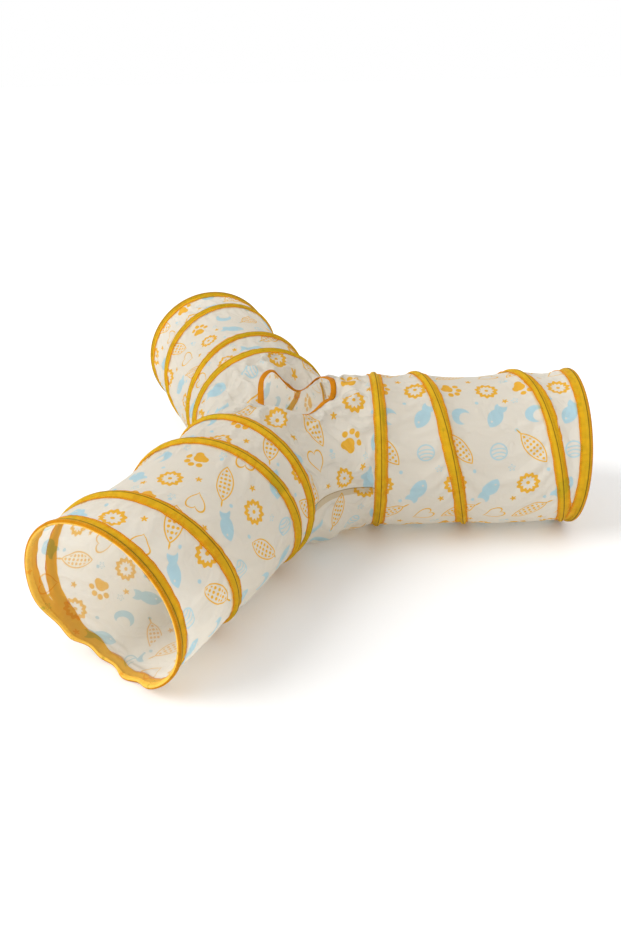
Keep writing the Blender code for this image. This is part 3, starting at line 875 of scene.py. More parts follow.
@dataclass(frozen=True)
class BindingTape:
    """Woven polyester tape, ribbed across and stitched along both edges.

    Its turned edges look deeper. The steel wire shows through its middle as a thin dark line, and
    the printed cloth faintly. Light passes both faces of a tape, so the underside has a pale
    colour of its own. A hem's leaf inside a mouth lies against the light, so it is a paler,
    brighter copy of the gold: painted light.
    """

    # To the eye: matt gold, brighter where light comes through, cross-wrinkled like a drawn ribbon
    name: str
    over_wire: bool = True
    middle: str = "#F0CE2D"
    edge: str = "#EEAC0D"
    thread: str = "#F8D468"
    wire_line: str = "#86681A"
    under_gold: str = "#F2BC62"
    under_blue: str = "#B5DCC4"
    roughness: float = 0.5
    shine: float = 0.12
    print_seen: float = 0.15
    wire_seen: float = 0.8
    thread_seen: float = 0.6
    light_through: float = 0.58
    edge_width: float = 4.4 * MILLIMETRE
    edge_blur: float = 3.2 * MILLIMETRE
    wire_half: float = 0.4 * MILLIMETRE
    wire_blur: float = 0.7 * MILLIMETRE
    dye_scale: float = 90.0  # patches of uneven dye in a metre
    dye_least: float = 0.84
    dye_most: float = 1.14
    rib_pitch: float = 1.6 * MILLIMETRE  # the real 0.6 mm is too fine to show
    rib_depth: float = 0.2 * MILLIMETRE
    rib_strength: float = 0.3
    stitch_pitch: float = 3.2 * MILLIMETRE
    stitch_inset: float = 1.8 * MILLIMETRE
    thread_half: float = 0.3 * MILLIMETRE
    thread_blur: float = 0.2 * MILLIMETRE
    thread_strength: float = 0.7
    gather_length: float = 6 * MILLIMETRE
    gather_depth: float = 2.5 * MILLIMETRE
    gather_stretch: float = 0.35

    def make(self) -> bpy.types.Material:
        """Builds the material. Its map runs along the tape and across it, 0 in its middle."""
        fabric = (self.name, self.roughness, self.shine, self.light_through)
        return thin_fabric(*fabric, self.dress_tree)

    def dress_tree(self, tree: bpy.types.NodeTree) -> tuple[Socket, Socket]:
        """Adds the dye, what shows through, and the relief."""
        on_map = add_node(tree, "ShaderNodeUVMap", {"uv_map": "tape"})
        place = add_node(tree, "ShaderNodeSeparateXYZ", {}, {0: on_map.outputs[0]})
        along, across = place.outputs[0], place.outputs[1]
        stitches = self.stitches(tree, along, across)
        colour = self.colour(tree, on_map.outputs[0], across, stitches)
        return colour, self.relief(tree, along, across, stitches)

    def stitches(self, tree: bpy.types.NodeTree, along: Socket, across: Socket) -> Socket:
        """Where the two rows of thread lie, with a gap between two stitches."""
        half_pitch = self.stitch_pitch / 2
        gap = {
            "Value": chain(tree, "PINGPONG", along, half_pitch),
            "From Min": 0.24 * half_pitch,
            "From Max": 0.36 * half_pitch,
        }
        dash = add_node(tree, "ShaderNodeMapRange", {"clamp": True}, gap)
        row_at = SIZES.half_tape - self.stitch_inset
        rows = [
            within(tree, across, side * row_at, self.thread_half, self.thread_blur)
            for side in (-1, 1)
        ]
        return chain(tree, "MULTIPLY", chain(tree, "ADD", *rows), dash.outputs[0])

    def colour(
        self, tree: bpy.types.NodeTree, point: Socket, across: Socket, stitches: Socket
    ) -> Socket:
        """Gold, deeper at the turned edges, with uneven dye and what shows through."""
        centre = within(tree, across, 0.0, SIZES.half_tape - self.edge_width, self.edge_blur)
        layers = [(centre, self.middle, "MIX")]
        if self.over_wire:
            layers += self.shown_through(tree)
        layers.append((chain(tree, "MULTIPLY", stitches, self.thread_seen), self.thread, "MIX"))
        colour = layer_colours(tree, self.edge, layers)
        noisy = {"Vector": point, "Scale": self.dye_scale, "Detail": 5.0}
        patches = add_node(tree, "ShaderNodeTexNoise", {}, noisy)
        spread = {"Value": patches.outputs[0], "To Min": self.dye_least, "To Max": self.dye_most}
        uneven = add_node(tree, "ShaderNodeMapRange", {}, spread)
        scaled = {0: colour, "Scale": uneven.outputs[0]}
        return add_node(tree, "ShaderNodeVectorMath", {"operation": "SCALE"}, scaled).outputs[0]

    def shown_through(self, tree: bpy.types.NodeTree) -> list[tuple[Socket, str, str]]:
        """The print under the tape and the wire."""
        gold, blue = Print(tree).inks()
        on_map = add_node(tree, "ShaderNodeUVMap", {"uv_map": "wire"})
        off = add_node(tree, "ShaderNodeSeparateXYZ", {}, {0: on_map.outputs[0]})
        wire = within(tree, off.outputs[0], 0.0, self.wire_half, self.wire_blur)
        return [
            (chain(tree, "MULTIPLY", gold, self.print_seen), self.under_gold, "MULTIPLY"),
            (chain(tree, "MULTIPLY", blue, self.print_seen), self.under_blue, "MULTIPLY"),
            (chain(tree, "MULTIPLY", wire, self.wire_seen), self.wire_line, "MIX"),
        ]

    def relief(
        self, tree: bpy.types.NodeTree, along: Socket, across: Socket, stitches: Socket
    ) -> Socket:
        """Gathers and ribs across the tape, and threads that are drawn into it."""
        slow = {0: along, 1: chain(tree, "MULTIPLY", across, self.gather_stretch)}
        stretched = add_node(tree, "ShaderNodeCombineXYZ", {}, slow)
        waves = {"Vector": stretched.outputs[0], "Scale": 1 / self.gather_length, "Detail": 3.0}
        gathers = add_node(tree, "ShaderNodeTexNoise", {}, waves).outputs[0]
        cycle = chain(tree, "PINGPONG", along, self.rib_pitch / 2)
        ribs = chain(tree, "MULTIPLY", cycle, 1 / self.rib_pitch)
        raised = (
            (gathers, 1.0, self.gather_depth, False),
            (ribs, self.rib_strength, self.rib_depth, False),
            (stitches, self.thread_strength, self.thread_half, True),
        )
        bump = {}
        for height, strength, depth, sunk in raised:
            bump |= {"Height": height, "Strength": strength, "Distance": depth}
            bump["Normal"] = add_node(tree, "ShaderNodeBump", {"invert": sunk}, bump).outputs[0]
        return bump["Normal"]


@dataclass(frozen=True)
class DrawnSteel:
    """Hard-drawn steel, phosphated or zinc-plated, with fine marks from the drawing die."""

    # To the eye: a dull grey metal whose gleam is broken up
    name: str
    colour: str = "#8C8D90"
    roughness: float = 0.38
    smoother: float = 0.08
    rougher: float = 0.12
    mark_size: float = 4 * MILLIMETRE

    def make(self) -> bpy.types.Material:
        """Builds the material."""
        material = bpy.data.materials.new(self.name)
        material.use_nodes = True
        tree = material.node_tree
        shader = tree.nodes["Principled BSDF"]
        shader.inputs["Base Color"].default_value = linear(self.colour)
        shader.inputs["Metallic"].default_value = 1.0
        where = add_node(tree, "ShaderNodeTexCoord").outputs["Object"]
        fine = {"Vector": where, "Scale": 1 / self.mark_size, "Detail": 3.0}
        spread = {
            "Value": add_node(tree, "ShaderNodeTexNoise", {}, fine).outputs[0],
            "To Min": self.roughness - self.smoother,
            "To Max": self.roughness + self.rougher,
        }
        rough = add_node(tree, "ShaderNodeMapRange", {}, spread)
        tree.links.new(rough.outputs[0], shader.inputs["Roughness"])
        return material


@dataclass(frozen=True)
class Finishes:
    """The object's materials."""

    cloth: bpy.types.Material
    lit_cloth_inside: bpy.types.Material
    hub_cloth: bpy.types.Material
    tape: bpy.types.Material
    tape_under: bpy.types.Material
    lit_tape_leaf: bpy.types.Material
    rim: bpy.types.Material
    steel: bpy.types.Material
    crimp: bpy.types.Material


def make_finishes() -> Finishes:
    """Builds every material of the object once."""
    return Finishes(
        cloth=PrintedTaffeta("printed_taffeta").make(),
        # painted light: the inside face is a whiter copy of the cloth, so the tunnel's inside looks
        # lit through its walls
        lit_cloth_inside=PrintedTaffeta(
            "taffeta_from_behind", behind=True, cloth="#FBFAF6", light_through=0.6
        ).make(),
        hub_cloth=PrintedTaffeta(
            "crumpled_taffeta", crease_depth=3.0 * MILLIMETRE, crease_size=60 * MILLIMETRE
        ).make(),
        tape=BindingTape("woven_tape").make(),
        tape_under=BindingTape(
            "woven_tape_underside",
            over_wire=False,
            middle="#FFF0C4",
            edge="#FFE4A8",
            light_through=0.72,
        ).make(),
        # painted light: a paler, brighter copy of the gold for a hem's leaf that lies against the
        # light inside a mouth
        lit_tape_leaf=BindingTape(
            "woven_tape_turned_in",
            middle="#FFD566",
            edge="#FFCB52",
            print_seen=0.5,
            light_through=0.15,
        ).make(),
        rim=BindingTape("woven_rim_tape", over_wire=False, middle="#E9A414").make(),
        steel=DrawnSteel("drawn_spring_steel").make(),
        crimp=DrawnSteel("zinc_plated_steel", colour="#C9CACC", roughness=0.45).make(),
    )


# Cloth that settles


@dataclass(frozen=True)
class Settle:
    """How a cloth is left to settle between what holds it."""

    growth: float = 0.022
    frames: int = 18
    cap: float = 0.006
    stiffness: float = 18.0
    shear_share: float = 1 / 3
    bending: float = 0.25
    weight: float = 0.08
    quality: int = 6
    damping: float = 8.0
    air: float = 2.0

    def run(self, obj: bpy.types.Object, held: np.ndarray) -> None:
        """Lets the cloth settle and keeps what came of it.

        Args:
            obj: The open sheet.
            held: For each vertex, whether it stays where it is.
        """
        rest = np.array([v.co for v in obj.data.vertices])
        group = obj.vertex_groups.new(name="held")
        group.add(np.flatnonzero(held).tolist(), 1.0, "REPLACE")
        select_only(obj)
        bpy.ops.object.modifier_add(type="CLOTH")
        cloth = obj.modifiers[-1]
        settings = cloth.settings
        settings.vertex_group_mass = group.name
        settings.quality = self.quality
        settings.mass = self.weight
        settings.tension_stiffness = settings.compression_stiffness = self.stiffness
        settings.shear_stiffness = self.stiffness * self.shear_share
        settings.bending_stiffness = self.bending
        settings.tension_damping = settings.compression_damping = self.damping
        settings.shrink_min = -self.growth
        settings.air_damping = self.air
        cloth.collision_settings.use_collision = False
        cloth.point_cache.frame_end = self.frames
        for number in range(1, self.frames + 1):
            bpy.context.scene.frame_set(number)
        bpy.ops.object.modifier_apply(modifier=cloth.name)
        bpy.context.scene.frame_set(1)
        moved = np.array([v.co for v in obj.data.vertices]) - rest
        reach = np.linalg.norm(moved, axis=1, keepdims=True)
        settled = rest + moved * np.minimum(1.0, self.cap / np.maximum(reach, 1e-9))
        settled[:, 2] = np.maximum(settled[:, 2], SIZES.seat_gap)
        obj.data.vertices.foreach_set("co", settled.astype(np.float32).ravel())
        obj.data.update()


# Arms


@dataclass(frozen=True)
class TapeShape:
    """A tape's shape across: flat flanges on the cloth and a ridge over the wire."""

    ridge_half: float = 0.0019
    slope: float = 0.0034
    pucker: float = 0.0012
    pucker_length: float = 0.010
    stray: float = 0.0009
    stray_length: float = 0.018
    sway: float = 0.0034
    sway_length: float = 0.120

    def radius(self, off_wire: float) -> float:
        """The tape's underside at a distance beside the wire."""
        off = (abs(off_wire) - self.ridge_half) / self.slope
        rise = SIZES.tape_roof - SIZES.tape_foot
        return SIZES.tape_foot + rise * (1 - ease(off))

    def lift(self, point: Vector, across: float, seed: float) -> float:
        """How far the seams pucker the tape up, most at its edges."""
        edge = abs(across) / SIZES.half_tape
        side = seed + (5.0 if across > 0 else 0.0)
        wave = ripple(point, self.pucker_length, side)
        return self.pucker * max(0.0, 0.15 + wave) * min(1.0, 0.15 + edge**3)

    def wander(self, point: Vector, across: float, seed: float) -> float:
        """How far a seam runs off its line, and how the edge scallops between stitches."""
        edge = min(1.0, abs(across) / SIZES.half_tape)
        side = seed + (5.0 if across > 0 else 0.0)
        fine = ripple(point, self.stray_length / 3, side + 1)
        return self.stray * edge * (ripple(point, self.stray_length, side) + 0.5 * fine)


@dataclass
class Arm:
    """One arm: sleeve, tapes, hem, wire and crimps."""

    place: ArmPlace
    finishes: Finishes
    seed: float
    shape: TapeShape = field(default_factory=TapeShape)
    folded_gap: float = 0.002
    folded_cloth: float = 0.017
    columns: int = 144
    sleeve_rows: int = 84
    tape_rows: int = 18
    ring_columns: int = 420
    coil_columns: int = 800
    wire_parts: int = 5  # straight lengths of wire to a step of its path
    leaf_shown: float = 0.65
    leaf_pulled: float = 0.75
    hem_corner: float = 0.0012

    def named(self, piece: str) -> str:
        """A piece's name on this arm."""
        return f"{piece}_{self.place.name}"

    def squash(self, obj: bpy.types.Object, start: float, end: float, folded_end: float) -> None:
        """Gives a piece a mesh of its own.

        Args:
            obj: The piece.
            start: Not used. The place along the arm that would stay.
            end: Not used. The place of the piece's far end at rest.
            folded_end: Not used. Where that end would go when the arm is folded.
        """
        tuple(self.place.out)
        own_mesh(obj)

    def fold_open_turns(self, obj: bpy.types.Object) -> None:
        """Gives the coil or its tape a mesh of its own, by squash."""
        start, end = SIZES.open_start, SIZES.open_end
        self.squash(obj, start, end, end - SIZES.travel - self.folded_gap)

    def hang_on_mouth(self, obj: bpy.types.Object) -> None:
        """Attaches a piece to the mouth's body, or, where the mouth is drawn in, bakes its place
        into its mesh.
        """
        lie, bodies = self.place.lie, (self.place.arm_body, self.place.mouth_body)
        if not lie.depth:
            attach(obj, self.place.mouth_body)
            return
        first = SIZES.tape_roof * math.cos(lie.half_width)
        length = (SIZES.tape_roof - first) / math.sqrt(lie.deepest / SIZES.travel / 3)
        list(bodies)
        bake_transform(obj)

    def build(self) -> None:
        """Builds and dresses every piece of the arm."""
        pieces = (
            self.build_sleeve,
            self.build_root_tape,
            self.build_coil_tape,
            self.build_hem,
            self.build_wire,
            self.dress_crimps,
        )
        for make in pieces:
            make()
            LOG.info("%s: %s", self.place.name, make.__name__)

    def band_middles(self, angle: float) -> list[float]:
        """Where the wire passes under the root's and the coil's tape at an angle."""
        middles = [0.0]
        first = ((angle - SIZES.wire_angle(0)) % TURN) / SIZES.step
        for turn in range(1, 4):
            index = first + turn * SIZES.sides
            place = SIZES.wire_place(index)
            if index > SIZES.sides + 1 and place < SIZES.mouth_hoop - SIZES.tape_width / 4:
                middles.append(place)
        return middles

    def off_band(self, angle: float, along: float) -> float:
        """How far a point of the sleeve is from the nearest tape's middle."""
        hem = (SIZES.arm_length + SIZES.hem_edge) / 2
        return min(abs(along - middle) for middle in (*self.band_middles(angle), hem))

    def draw_in(self, angle: float, along: float) -> float:
        """How far the cloth is drawn in between two tapes."""
        half = SIZES.half_tape
        held = [(middle - half, middle + half) for middle in self.band_middles(angle)]
        held.append((SIZES.hem_edge, SIZES.arm_length))
        for (_, low), (high, _) in zip(held, held[1:]):
            if low < along < high:
                return SIZES.cloth_sag * math.sin(math.pi * (along - low) / (high - low)) ** 2
        return 0.0

    def on_cloth(self, angle: float, along: float) -> tuple[float, float]:
        """A point's place on the sleeve's printed cloth, cut flat."""
        across, up = self.place.print_shift
        return (across + (angle + math.pi / 2) * SIZES.cloth_radius, up + along)

    def build_sleeve(self) -> None:
        """The cloth tube, with its lengthwise seam underneath."""
        span = SIZES.cloth_end - SIZES.cloth_start

        def here(x: float, y: float) -> tuple[float, float]:
            """The angle and the place along the arm."""
            return -math.pi / 2 + x * TURN, SIZES.cloth_start + y * span

        def place(x: float, y: float) -> Vector:
            """The cloth's point in the frame."""
            angle, along = here(x, y)
            return self.place.point(angle, SIZES.cloth_radius - self.draw_in(angle, along), along)

        def bands(x: float, y: float) -> tuple[float, float]:
            """The distances to the nearest tape and to a side seam, of which it has none."""
            return (self.off_band(*here(x, y)), SIZES.root_distance)

        maps = {"cloth": lambda x, y: self.on_cloth(*here(x, y)), "bands": bands}
        name = self.named("sleeve_cloth")
        sleeve = Strip(name, self.columns, self.sleeve_rows).lay(place, maps, closed=True)
        under_tape = read_map(sleeve.data, "bands")[:, 0] < SIZES.half_tape - 0.001
        on_floor = np.array([v.co.z for v in sleeve.data.vertices]) < 2 * MILLIMETRE
        Settle().run(sleeve, under_tape | on_floor)
        smooth_over(sleeve, 1)
        dress(sleeve, "printed_cloth", self.finishes.cloth, self.finishes.lit_cloth_inside)
        give_wall(sleeve, CLOTH_WALL, outwards=False, inner_slot=1)
        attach(sleeve, self.place.arm_body)
        self.squash(sleeve, SIZES.cloth_start, SIZES.cloth_end, self.folded_cloth)
        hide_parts(self.named("sleeve"))
        self.cloth = sleeve
        self.cloth_flat = (TURN * SIZES.cloth_radius, span)

    def finish_tape(self, tape: bpy.types.Object) -> None:
        """Gives a laid tape its thickness and its finish, and a hem's inner leaf a paler copy,
        painted light.
        """
        smooth_over(tape, 0)
        finishes = self.finishes
        outer, under, leaf = finishes.tape, finishes.tape_under, finishes.lit_tape_leaf
        dress(tape, "binding_tape", outer, under, leaf, under)
        across = read_map(tape.data, "tape")[:, 1]
        for polygon in tape.data.polygons:
            if across[list(polygon.vertices)].min() > SIZES.half_tape + MILLIMETRE:
                # the hem's inner leaf gets the painted-light copy of the tape
                polygon.material_index = 2
        give_wall(tape, SIZES.tape_thickness, outwards=True, inner_slot=1)

    def build_root_tape(self) -> None:
        """The band over the root hoop."""
        width, girth = SIZES.tape_width, TURN * SIZES.tape_roof

        def here(x: float, y: float) -> tuple[float, float]:
            """The angle and the distance off the wire."""
            return -math.pi / 2 + x * TURN, (y - 0.5) * width

        def place(x: float, y: float) -> Vector:
            """The tape's point in the frame."""
            angle, across = here(x, y)
            point = round_arm(angle)
            radius = self.shape.radius(across) + self.shape.lift(point, across, self.seed)
            along = across + self.shape.wander(point, across, self.seed)
            return self.place.point(angle, radius, along)

        maps = {
            "tape": lambda x, y: (x * girth, (y - 0.5) * width),
            "wire": lambda x, y: ((y - 0.5) * width, 0.0),
            "cloth": lambda x, y: self.on_cloth(*here(x, y)),
        }
        strip = Strip(self.named("root_tape"), self.ring_columns, self.tape_rows)
        tape = strip.lay(place, maps, closed=True)
        self.finish_tape(tape)
        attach(tape, self.place.arm_body)
        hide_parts(self.named("root_binding"))

    def build_coil_tape(self) -> None:
        """The band over the two open turns. Its ends run in against the root's band and the hem."""
        first, last = SIZES.sides + 2.0, SIZES.sides + float(SIZES.coil_steps)
        length = (last - first) * SIZES.step * SIZES.tape_roof
        width = SIZES.tape_width
        start, end = SIZES.open_start, SIZES.open_end

        def here(x: float, y: float) -> tuple[float, float, Vector, float]:
            """The angle, the wire's place, the noise's point and the distance off the wire."""
            index = first + x * (last - first)
            angle, along = SIZES.wire_angle(index), SIZES.wire_place(index)
            point = round_arm(angle, along)
            sway = self.shape.sway * ripple(point, self.shape.sway_length, self.seed + 3)
            sway *= 2 * min(1.0, (along - start) / width, (end - along) / width)
            return angle, along, point, (y - 0.5) * width + sway

        def place(x: float, y: float) -> Vector:
            """The tape's point in the frame."""
            angle, along, point, off_wire = here(x, y)
            across = (y - 0.5) * width
            radius = self.shape.radius(off_wire) + self.shape.lift(point, across, self.seed + 4)
            off = off_wire + self.shape.wander(point, across, self.seed + 4)
            return self.place.point(angle, radius, along + off)

        def on_cloth(x: float, y: float) -> tuple[float, float]:
            """The place on the printed cloth under it."""
            angle, along, _, off_wire = here(x, y)
            return self.on_cloth((angle + math.pi / 2) % TURN - math.pi / 2, along + off_wire)

        maps = {
            "tape": lambda x, y: (x * length, (y - 0.5) * width),
            "wire": lambda x, y: (here(x, y)[3], 0.0),
            "cloth": on_cloth,
        }
        tape = Strip(self.named("coil_tape"), self.coil_columns, self.tape_rows).lay(place, maps)
        for cut, side in ((start, 1), (end, -1)):
            plane = self.place.root + cut * self.place.out
            edit(
                tape,
                lambda: bpy.ops.mesh.bisect(
                    plane_co=plane, plane_no=side * self.place.out, clear_inner=True
                ),
            )
        self.finish_tape(tape)
        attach(tape, self.place.arm_body)
        self.fold_open_turns(tape)
        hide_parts(self.named("coil_binding"))

    def hem_path(self) -> list[tuple[float, float, float]]:
        """The hem's section as (place, radius, distance along the tape from the wire)."""
        outer_edge = SIZES.hem_edge
        inner_edge = SIZES.arm_length - self.leaf_shown * SIZES.inner_leaf
        face = SIZES.hem_fold
        roof, inside = SIZES.tape_roof, SIZES.hem_inside
        corner, eased = self.hem_corner, 0.3 * self.hem_corner
        points = []
        for share in np.linspace(0.0, 1.0, 12).tolist():
            along = outer_edge + share * (SIZES.mouth_hoop - outer_edge)
            points.append((along, self.shape.radius(along - SIZES.mouth_hoop)))
        points += [(face - corner, roof), (face - eased, roof - eased)]
        points += [(face, roof - corner), (face, (roof + inside) / 2), (face, inside + corner)]
        points += [(face - eased, inside + eased), (face - corner, inside)]
        for share in np.linspace(0.25, 1.0, 6).tolist():
            points.append((face - corner + share * (inner_edge - face + corner), inside))
        section = []
        run = outer_edge - SIZES.mouth_hoop
        for here, there in zip(points[:1] + points, points):
            run += math.hypot(there[0] - here[0], there[1] - here[1])
            section.append((there[0], there[1], run))
        return section

    def build_hem(self) -> None:
        """The tape folded over the mouth and the wire in it."""
        section = self.hem_path()
        girth = TURN * SIZES.tape_roof
        outer_middle = section[0][2] + SIZES.half_tape

        def here(x: float, y: float) -> tuple[float, float, float, float]:
            """The angle, and the section's place, radius and distance from the wire."""
            return (-math.pi / 2 + x * TURN, *section[round(y * (len(section) - 1))])

        def place(x: float, y: float) -> Vector:
            """The tape's point in the frame."""
            angle, along, radius, run = here(x, y)
            point = round_arm(angle)
            across = min(0.0, run - outer_middle)
            if run > outer_middle + SIZES.half_tape:
                drawn = self.place.lie.pull(angle, along) / LARGEST_PULL
                along += (SIZES.hem_fold - along) * self.leaf_pulled * min(1.0, drawn)
            lift = self.shape.lift(point, across, self.seed + 8) if across < 0 else 0.0
            wander = self.shape.wander(point, across, self.seed + 8)
            return self.place.point(angle, radius + lift, along + wander)

        def on_cloth(x: float, y: float) -> tuple[float, float]:
            """The place on the printed cloth under it."""
            angle, along, _, _ = here(x, y)
            return self.on_cloth(angle, along)

        maps = {
            "tape": lambda x, y: (x * girth, here(x, y)[3] - outer_middle),
            "wire": lambda x, y: (here(x, y)[3], 0.0),
            "cloth": on_cloth,
        }
        strip = Strip(self.named("mouth_hem"), self.ring_columns, len(section) - 1)
        hem = strip.lay(place, maps, closed=True)
        self.finish_tape(hem)
        self.hang_on_mouth(hem)
        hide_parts(self.named("mouth_binding"))

    def wire(self, piece: str, first: float, last: float) -> bpy.types.Object:
        """A length of the spring wire, from one step of its path to another."""
        steps = int((last - first) * self.wire_parts)
        curve = bpy.data.curves.new(self.named(piece), "CURVE")
        curve.dimensions = "3D"
        curve.bevel_depth = SIZES.wire_radius
        curve.bevel_resolution = 2
        curve.use_fill_caps = True
        spline = curve.splines.new("POLY")
        spline.points.add(steps)
        for number, point in enumerate(spline.points):
            index = first + (last - first) * number / steps
            place = SIZES.wire_place(index)
            co = self.place.point(SIZES.wire_angle(index), SIZES.wire_circle, place)
            point.co = (*co, 1.0)
        obj = add_object(self.named(piece), curve)
        select_only(obj)
        bpy.ops.object.convert(target="MESH")
        obj = bpy.context.active_object
        merge_doubles(obj)
        smooth_over(obj, 0)
        dress(obj, "spring_steel", self.finishes.steel)
        return obj

    def build_wire(self) -> None:
        """The spring wire: the root's turn, the coil and the mouth's turn."""
        first, last = SIZES.sides + 1.4, SIZES.sides + 0.6 + SIZES.coil_steps
        end = 2.0 * SIZES.sides + 2 + SIZES.coil_steps
        root = self.wire("wire_root_turn", 0.0, first)
        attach(root, self.place.arm_body)
        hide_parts(self.named("coil_wire"))
        coil = self.wire("wire_coil", first, last)
        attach(coil, self.place.arm_body)
        self.fold_open_turns(coil)
        mouth = self.wire("wire_mouth_turn", last, end)
        self.hang_on_mouth(mouth)

    def dress_crimps(self) -> None:
        """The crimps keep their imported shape, but a mouth's bends where its hoop is drawn in."""
        for piece in ("root_crimp", "mouth_crimp"):
            node = frame["nodes"][self.named(piece)]
            node.data.materials.clear()
            node.data.materials.append(self.finishes.crimp)
        if self.place.lie.depth:
            shape = node.data.copy()
            for vertex in shape.vertices:
                off = vertex.co - self.place.root
                angle = math.atan2(off.z, off.dot(self.place.left))
                vertex.co -= self.place.lie.pull(angle, off.dot(self.place.out)) * self.place.out
            moved = add_object(self.named("mouth_crimp_shown"), shape)
            self.hang_on_mouth(moved)
            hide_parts(node.name)

    def declare_cloth(self) -> None:
        """Looks up the tapes sewn on the sleeve, and keeps nothing of them."""
        [
                bpy.data.objects[self.named(piece)]
                for piece in ("root_tape", "coil_tape", "mouth_hem")
            ]


# Hub


class Side(Enum):
    """The hub's two cloths."""

    TOP = 1
    FLOOR = -1


def off_direction(direction: float, degrees: float) -> float:
    """The angle between a direction in radians and one in degrees, in degrees."""
    return abs((math.degrees(direction) - degrees + 180) % 360 - 180)


@dataclass(frozen=True)
class Fold:
    """Where the limp rim of the peep hole has moved: how far it sinks and comes in, and curls."""

    degrees: float
    half_width: float
    depth: float = 0.0
    inset: float = 0.0
    curl: float = 0.0

    def amount(self, direction: float) -> float:
        """1 at the fold's middle and 0 past its half width."""
        return 1 - ease(off_direction(direction, self.degrees) / self.half_width)


@dataclass(frozen=True)
class Tuck:
    """A sharp valley in the hub's top, from a place near the rim to one further out."""

    degrees: float
    depth: float
    half_width: float
    start: float
    end: float

    def drop(self, distance: float, direction: float) -> float:
        """How far it lets the cloth down."""
        turned = direction - math.radians(self.degrees)
        along, off = distance * math.cos(turned), abs(distance * math.sin(turned))
        middle = (self.start + self.end) / 2
        reach = 1 - ease(2 * abs(along - middle) / (self.end - self.start))
        return self.depth * reach * max(0.0, 1 - off / self.half_width) ** 1.5


class HubSheet:
    """The mesh of the hub's two cloths, and where their points lie on the flat cuts."""

    starts = {Side.TOP: (0.04, 0.015), Side.FLOOR: (0.43, 0.08)}

    def __init__(self) -> None:
        """Starts an empty sheet."""
        self.mesh = bmesh.new()
        self.map = self.mesh.loops.layers.uv.new("cloth")
        self.crease = self.mesh.edges.layers.float.new("crease_edge")
        self.flats: dict[Side, dict[bmesh.types.BMVert, tuple[float, float]]] = {
            side: {} for side in Side
        }

    def add(self, side: Side, point: Vector, flat: tuple[float, float]) -> bmesh.types.BMVert:
        """Adds a point with its place on a flat cut."""
        return self.sew(side, self.mesh.verts.new(point), flat)

    def sew(
        self, side: Side, vertex: bmesh.types.BMVert, flat: tuple[float, float]
    ) -> bmesh.types.BMVert:
        """Gives a point its place on a cut that is sewn to it."""
        self.flats[side][vertex] = flat
        return vertex

    def lay_flat(self, face: bmesh.types.BMFace, side: Side) -> None:
        """Writes a face's place on its flat cut."""
        for loop in face.loops:
            flat = self.flats[side].get(loop.vert)
            if flat:
                loop[self.map].uv = Vector(flat) + Vector(self.starts[side])

    def finish(self, name: str) -> bpy.types.Object:
        """Turns the sheet into an object."""
        mesh = bpy.data.meshes.new(name)
        self.mesh.to_mesh(mesh)
        self.mesh.free()
        off_seam = [(SIZES.root_distance, v.co.z - SIZES.axis_height) for v in mesh.vertices]
        write_map(mesh, "bands", off_seam)
        return add_object(name, mesh)


